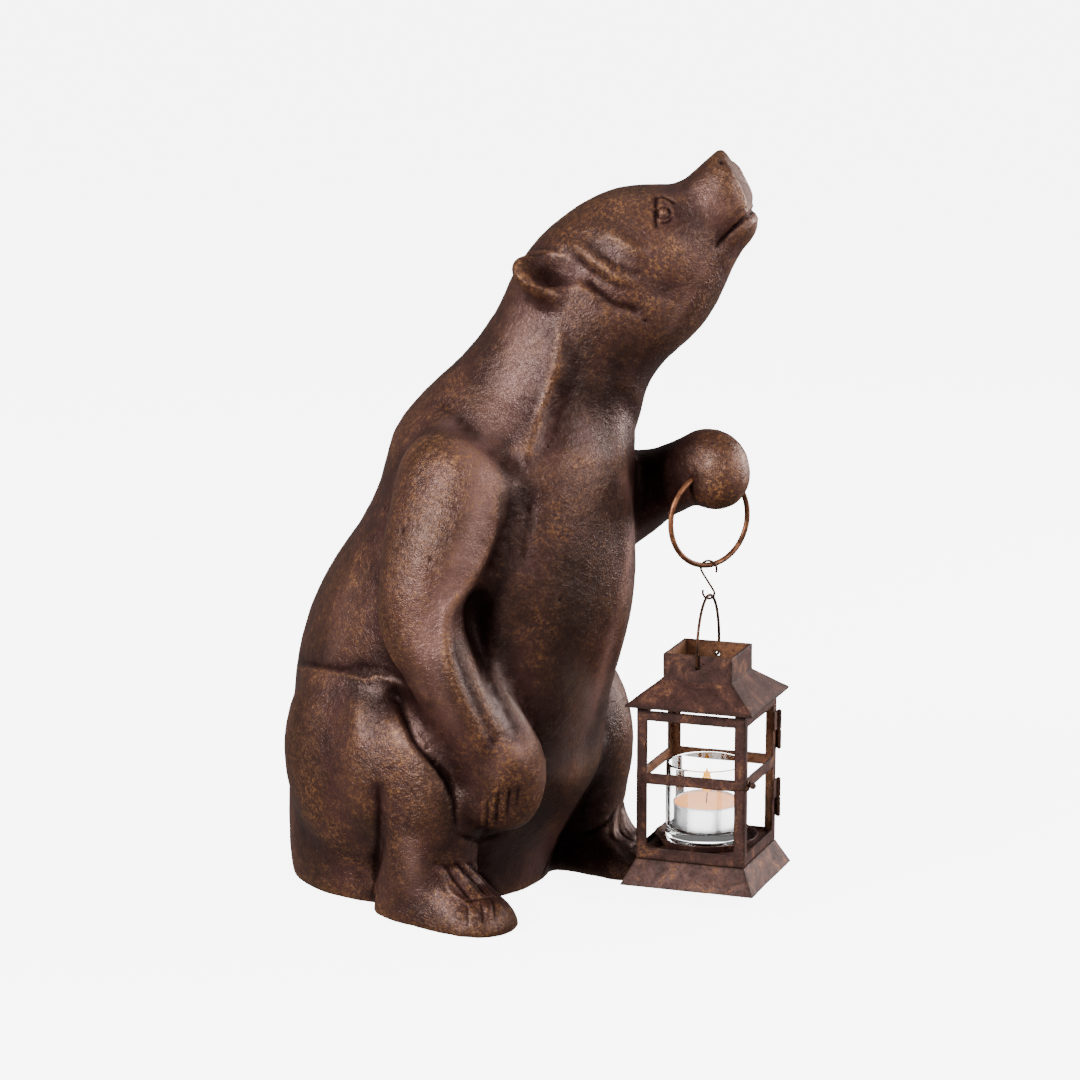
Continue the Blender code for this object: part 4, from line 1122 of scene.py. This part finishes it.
def flame_piece(height):
    """The flame over the wick, with its heat stored from foot to tip."""
    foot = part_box("wick")[1].z + FLAME_GAP
    profile = [(0, foot)]
    for row in range(1, FLAME_ROWS):
        way = row / FLAME_ROWS
        radius = FLAME_RADIUS * math.sin(math.pi * way ** FLAME_BELLY) * (1 - FLAME_NARROWING * way)
        profile.append((radius, foot + height * way))
    profile.append((0, foot + height))
    bm = lathe(profile, steps=24)
    piece = finish_piece("flame", bm, "lantern", candle_flame(), smooth_angle=80)
    share = (points_of(piece.data)[:, 2] - foot) / height
    set_attribute(piece.data, "heat", np.clip(share / HEAT_REACH, 0, 1))


class OBJECT_OT_bear_candle(bpy.types.Operator):
    """Glass, candle and flame"""
    bl_idname = "object.bear_candle"
    bl_label = "Candle"

    def execute(self, context):
        glass_piece()
        foil_piece()
        wax_piece()
        wick_piece()
        flame_piece(context.scene.lantern.flame_height)
        return {"FINISHED"}


# Stage

FLOOR_SIZE = 80
WORLD_STRENGTH = 0.18
# The lights: name, place, size and power; each is aimed at the middle of the object
LIGHTS = (("key", (-0.3, -1.85, 1.0), 0.7, 64), ("side", (1.9, 0.1, 0.95), 0.7, 26),
          ("rim", (0.8, 1.4, 0.6), 0.8, 34), ("top", (-0.3, 0.3, 2.1), 1.0, 4))
AIM = Vector((0.06, 0.0, 0.2))


def stage_floor():
    """A floor that reaches to the horizon, hidden from diffuse and glossy rays."""
    bm = bmesh.new()
    bmesh.ops.create_grid(bm, x_segments=1, y_segments=1, size=FLOOR_SIZE)
    floor = linked("floor", mesh_from("floor", bm))
    floor.data.materials.append(pale_floor())
    floor.visible_diffuse = False
    floor.visible_glossy = False


def studio_world(scene):
    """Even white light from all sides."""
    world = bpy.data.worlds.new("studio")
    world.use_nodes = True
    background = world.node_tree.nodes["Background"]
    background.inputs["Color"].default_value = (1, 1, 1, 1)
    background.inputs["Strength"].default_value = WORLD_STRENGTH
    scene.world = world


def studio_lights():
    """Soft square lights round the object."""
    for name, place, size, power in LIGHTS:
        light = bpy.data.lights.new(name, "AREA")
        light.size = size
        light.energy = power
        holder = linked(name, light)
        holder.location = place
        holder.rotation_euler = (Vector(place) - AIM).to_track_quat("Z", "Y").to_euler()


def studio_camera(scene):
    """The camera, where the photograph was taken from."""
    view = bpy.data.cameras.new("camera")
    view.sensor_width = SENSOR
    view.lens = VIEW_FOCAL / PICTURE * SENSOR
    camera = linked("camera", view)
    axes = Matrix((RIGHT, UP, -AHEAD)).transposed().to_4x4()
    camera.matrix_world = Matrix.Translation(EYE_POINT) @ axes
    scene.camera = camera


class OBJECT_OT_bear_stage(bpy.types.Operator):
    """Pale floor, soft studio lights and the camera"""
    bl_idname = "object.bear_stage"
    bl_label = "Stage"

    def execute(self, context):
        stage_floor()
        studio_world(context.scene)
        studio_lights()
        studio_camera(context.scene)
        return {"FINISHED"}


class VIEW3D_PT_bear(bpy.types.Panel):
    """Lists the bear's operators"""
    bl_idname = "VIEW3D_PT_bear"
    bl_label = "Bear"
    bl_space_type = "VIEW_3D"
    bl_region_type = "UI"
    bl_category = "Bear"

    def draw(self, context):
        for operator in OPERATORS:
            self.layout.operator(operator.bl_idname)
        for group in (context.scene.bear, context.scene.lantern):
            for name in group.__annotations__:
                self.layout.prop(group, name)


OPERATORS = (OBJECT_OT_bear_skin, OBJECT_OT_bear_sheet, OBJECT_OT_bear_wires, OBJECT_OT_bear_candle,
             OBJECT_OT_bear_stage)
CLASSES = (BearSettings, LanternSettings, *OPERATORS, VIEW3D_PT_bear)


def register():
    for kind in CLASSES:
        bpy.utils.register_class(kind)
    bpy.types.Scene.bear = PointerProperty(type=BearSettings)
    bpy.types.Scene.lantern = PointerProperty(type=LanternSettings)


def unregister():
    del bpy.types.Scene.bear
    del bpy.types.Scene.lantern
    for kind in reversed(CLASSES):
        bpy.utils.unregister_class(kind)


def main():
    register()
    bpy.ops.object.bear_skin()
    bpy.ops.object.bear_sheet()
    bpy.ops.object.bear_wires()
    bpy.ops.object.bear_candle()
    bpy.ops.object.bear_stage()


if __name__ == "__main__":
    main()
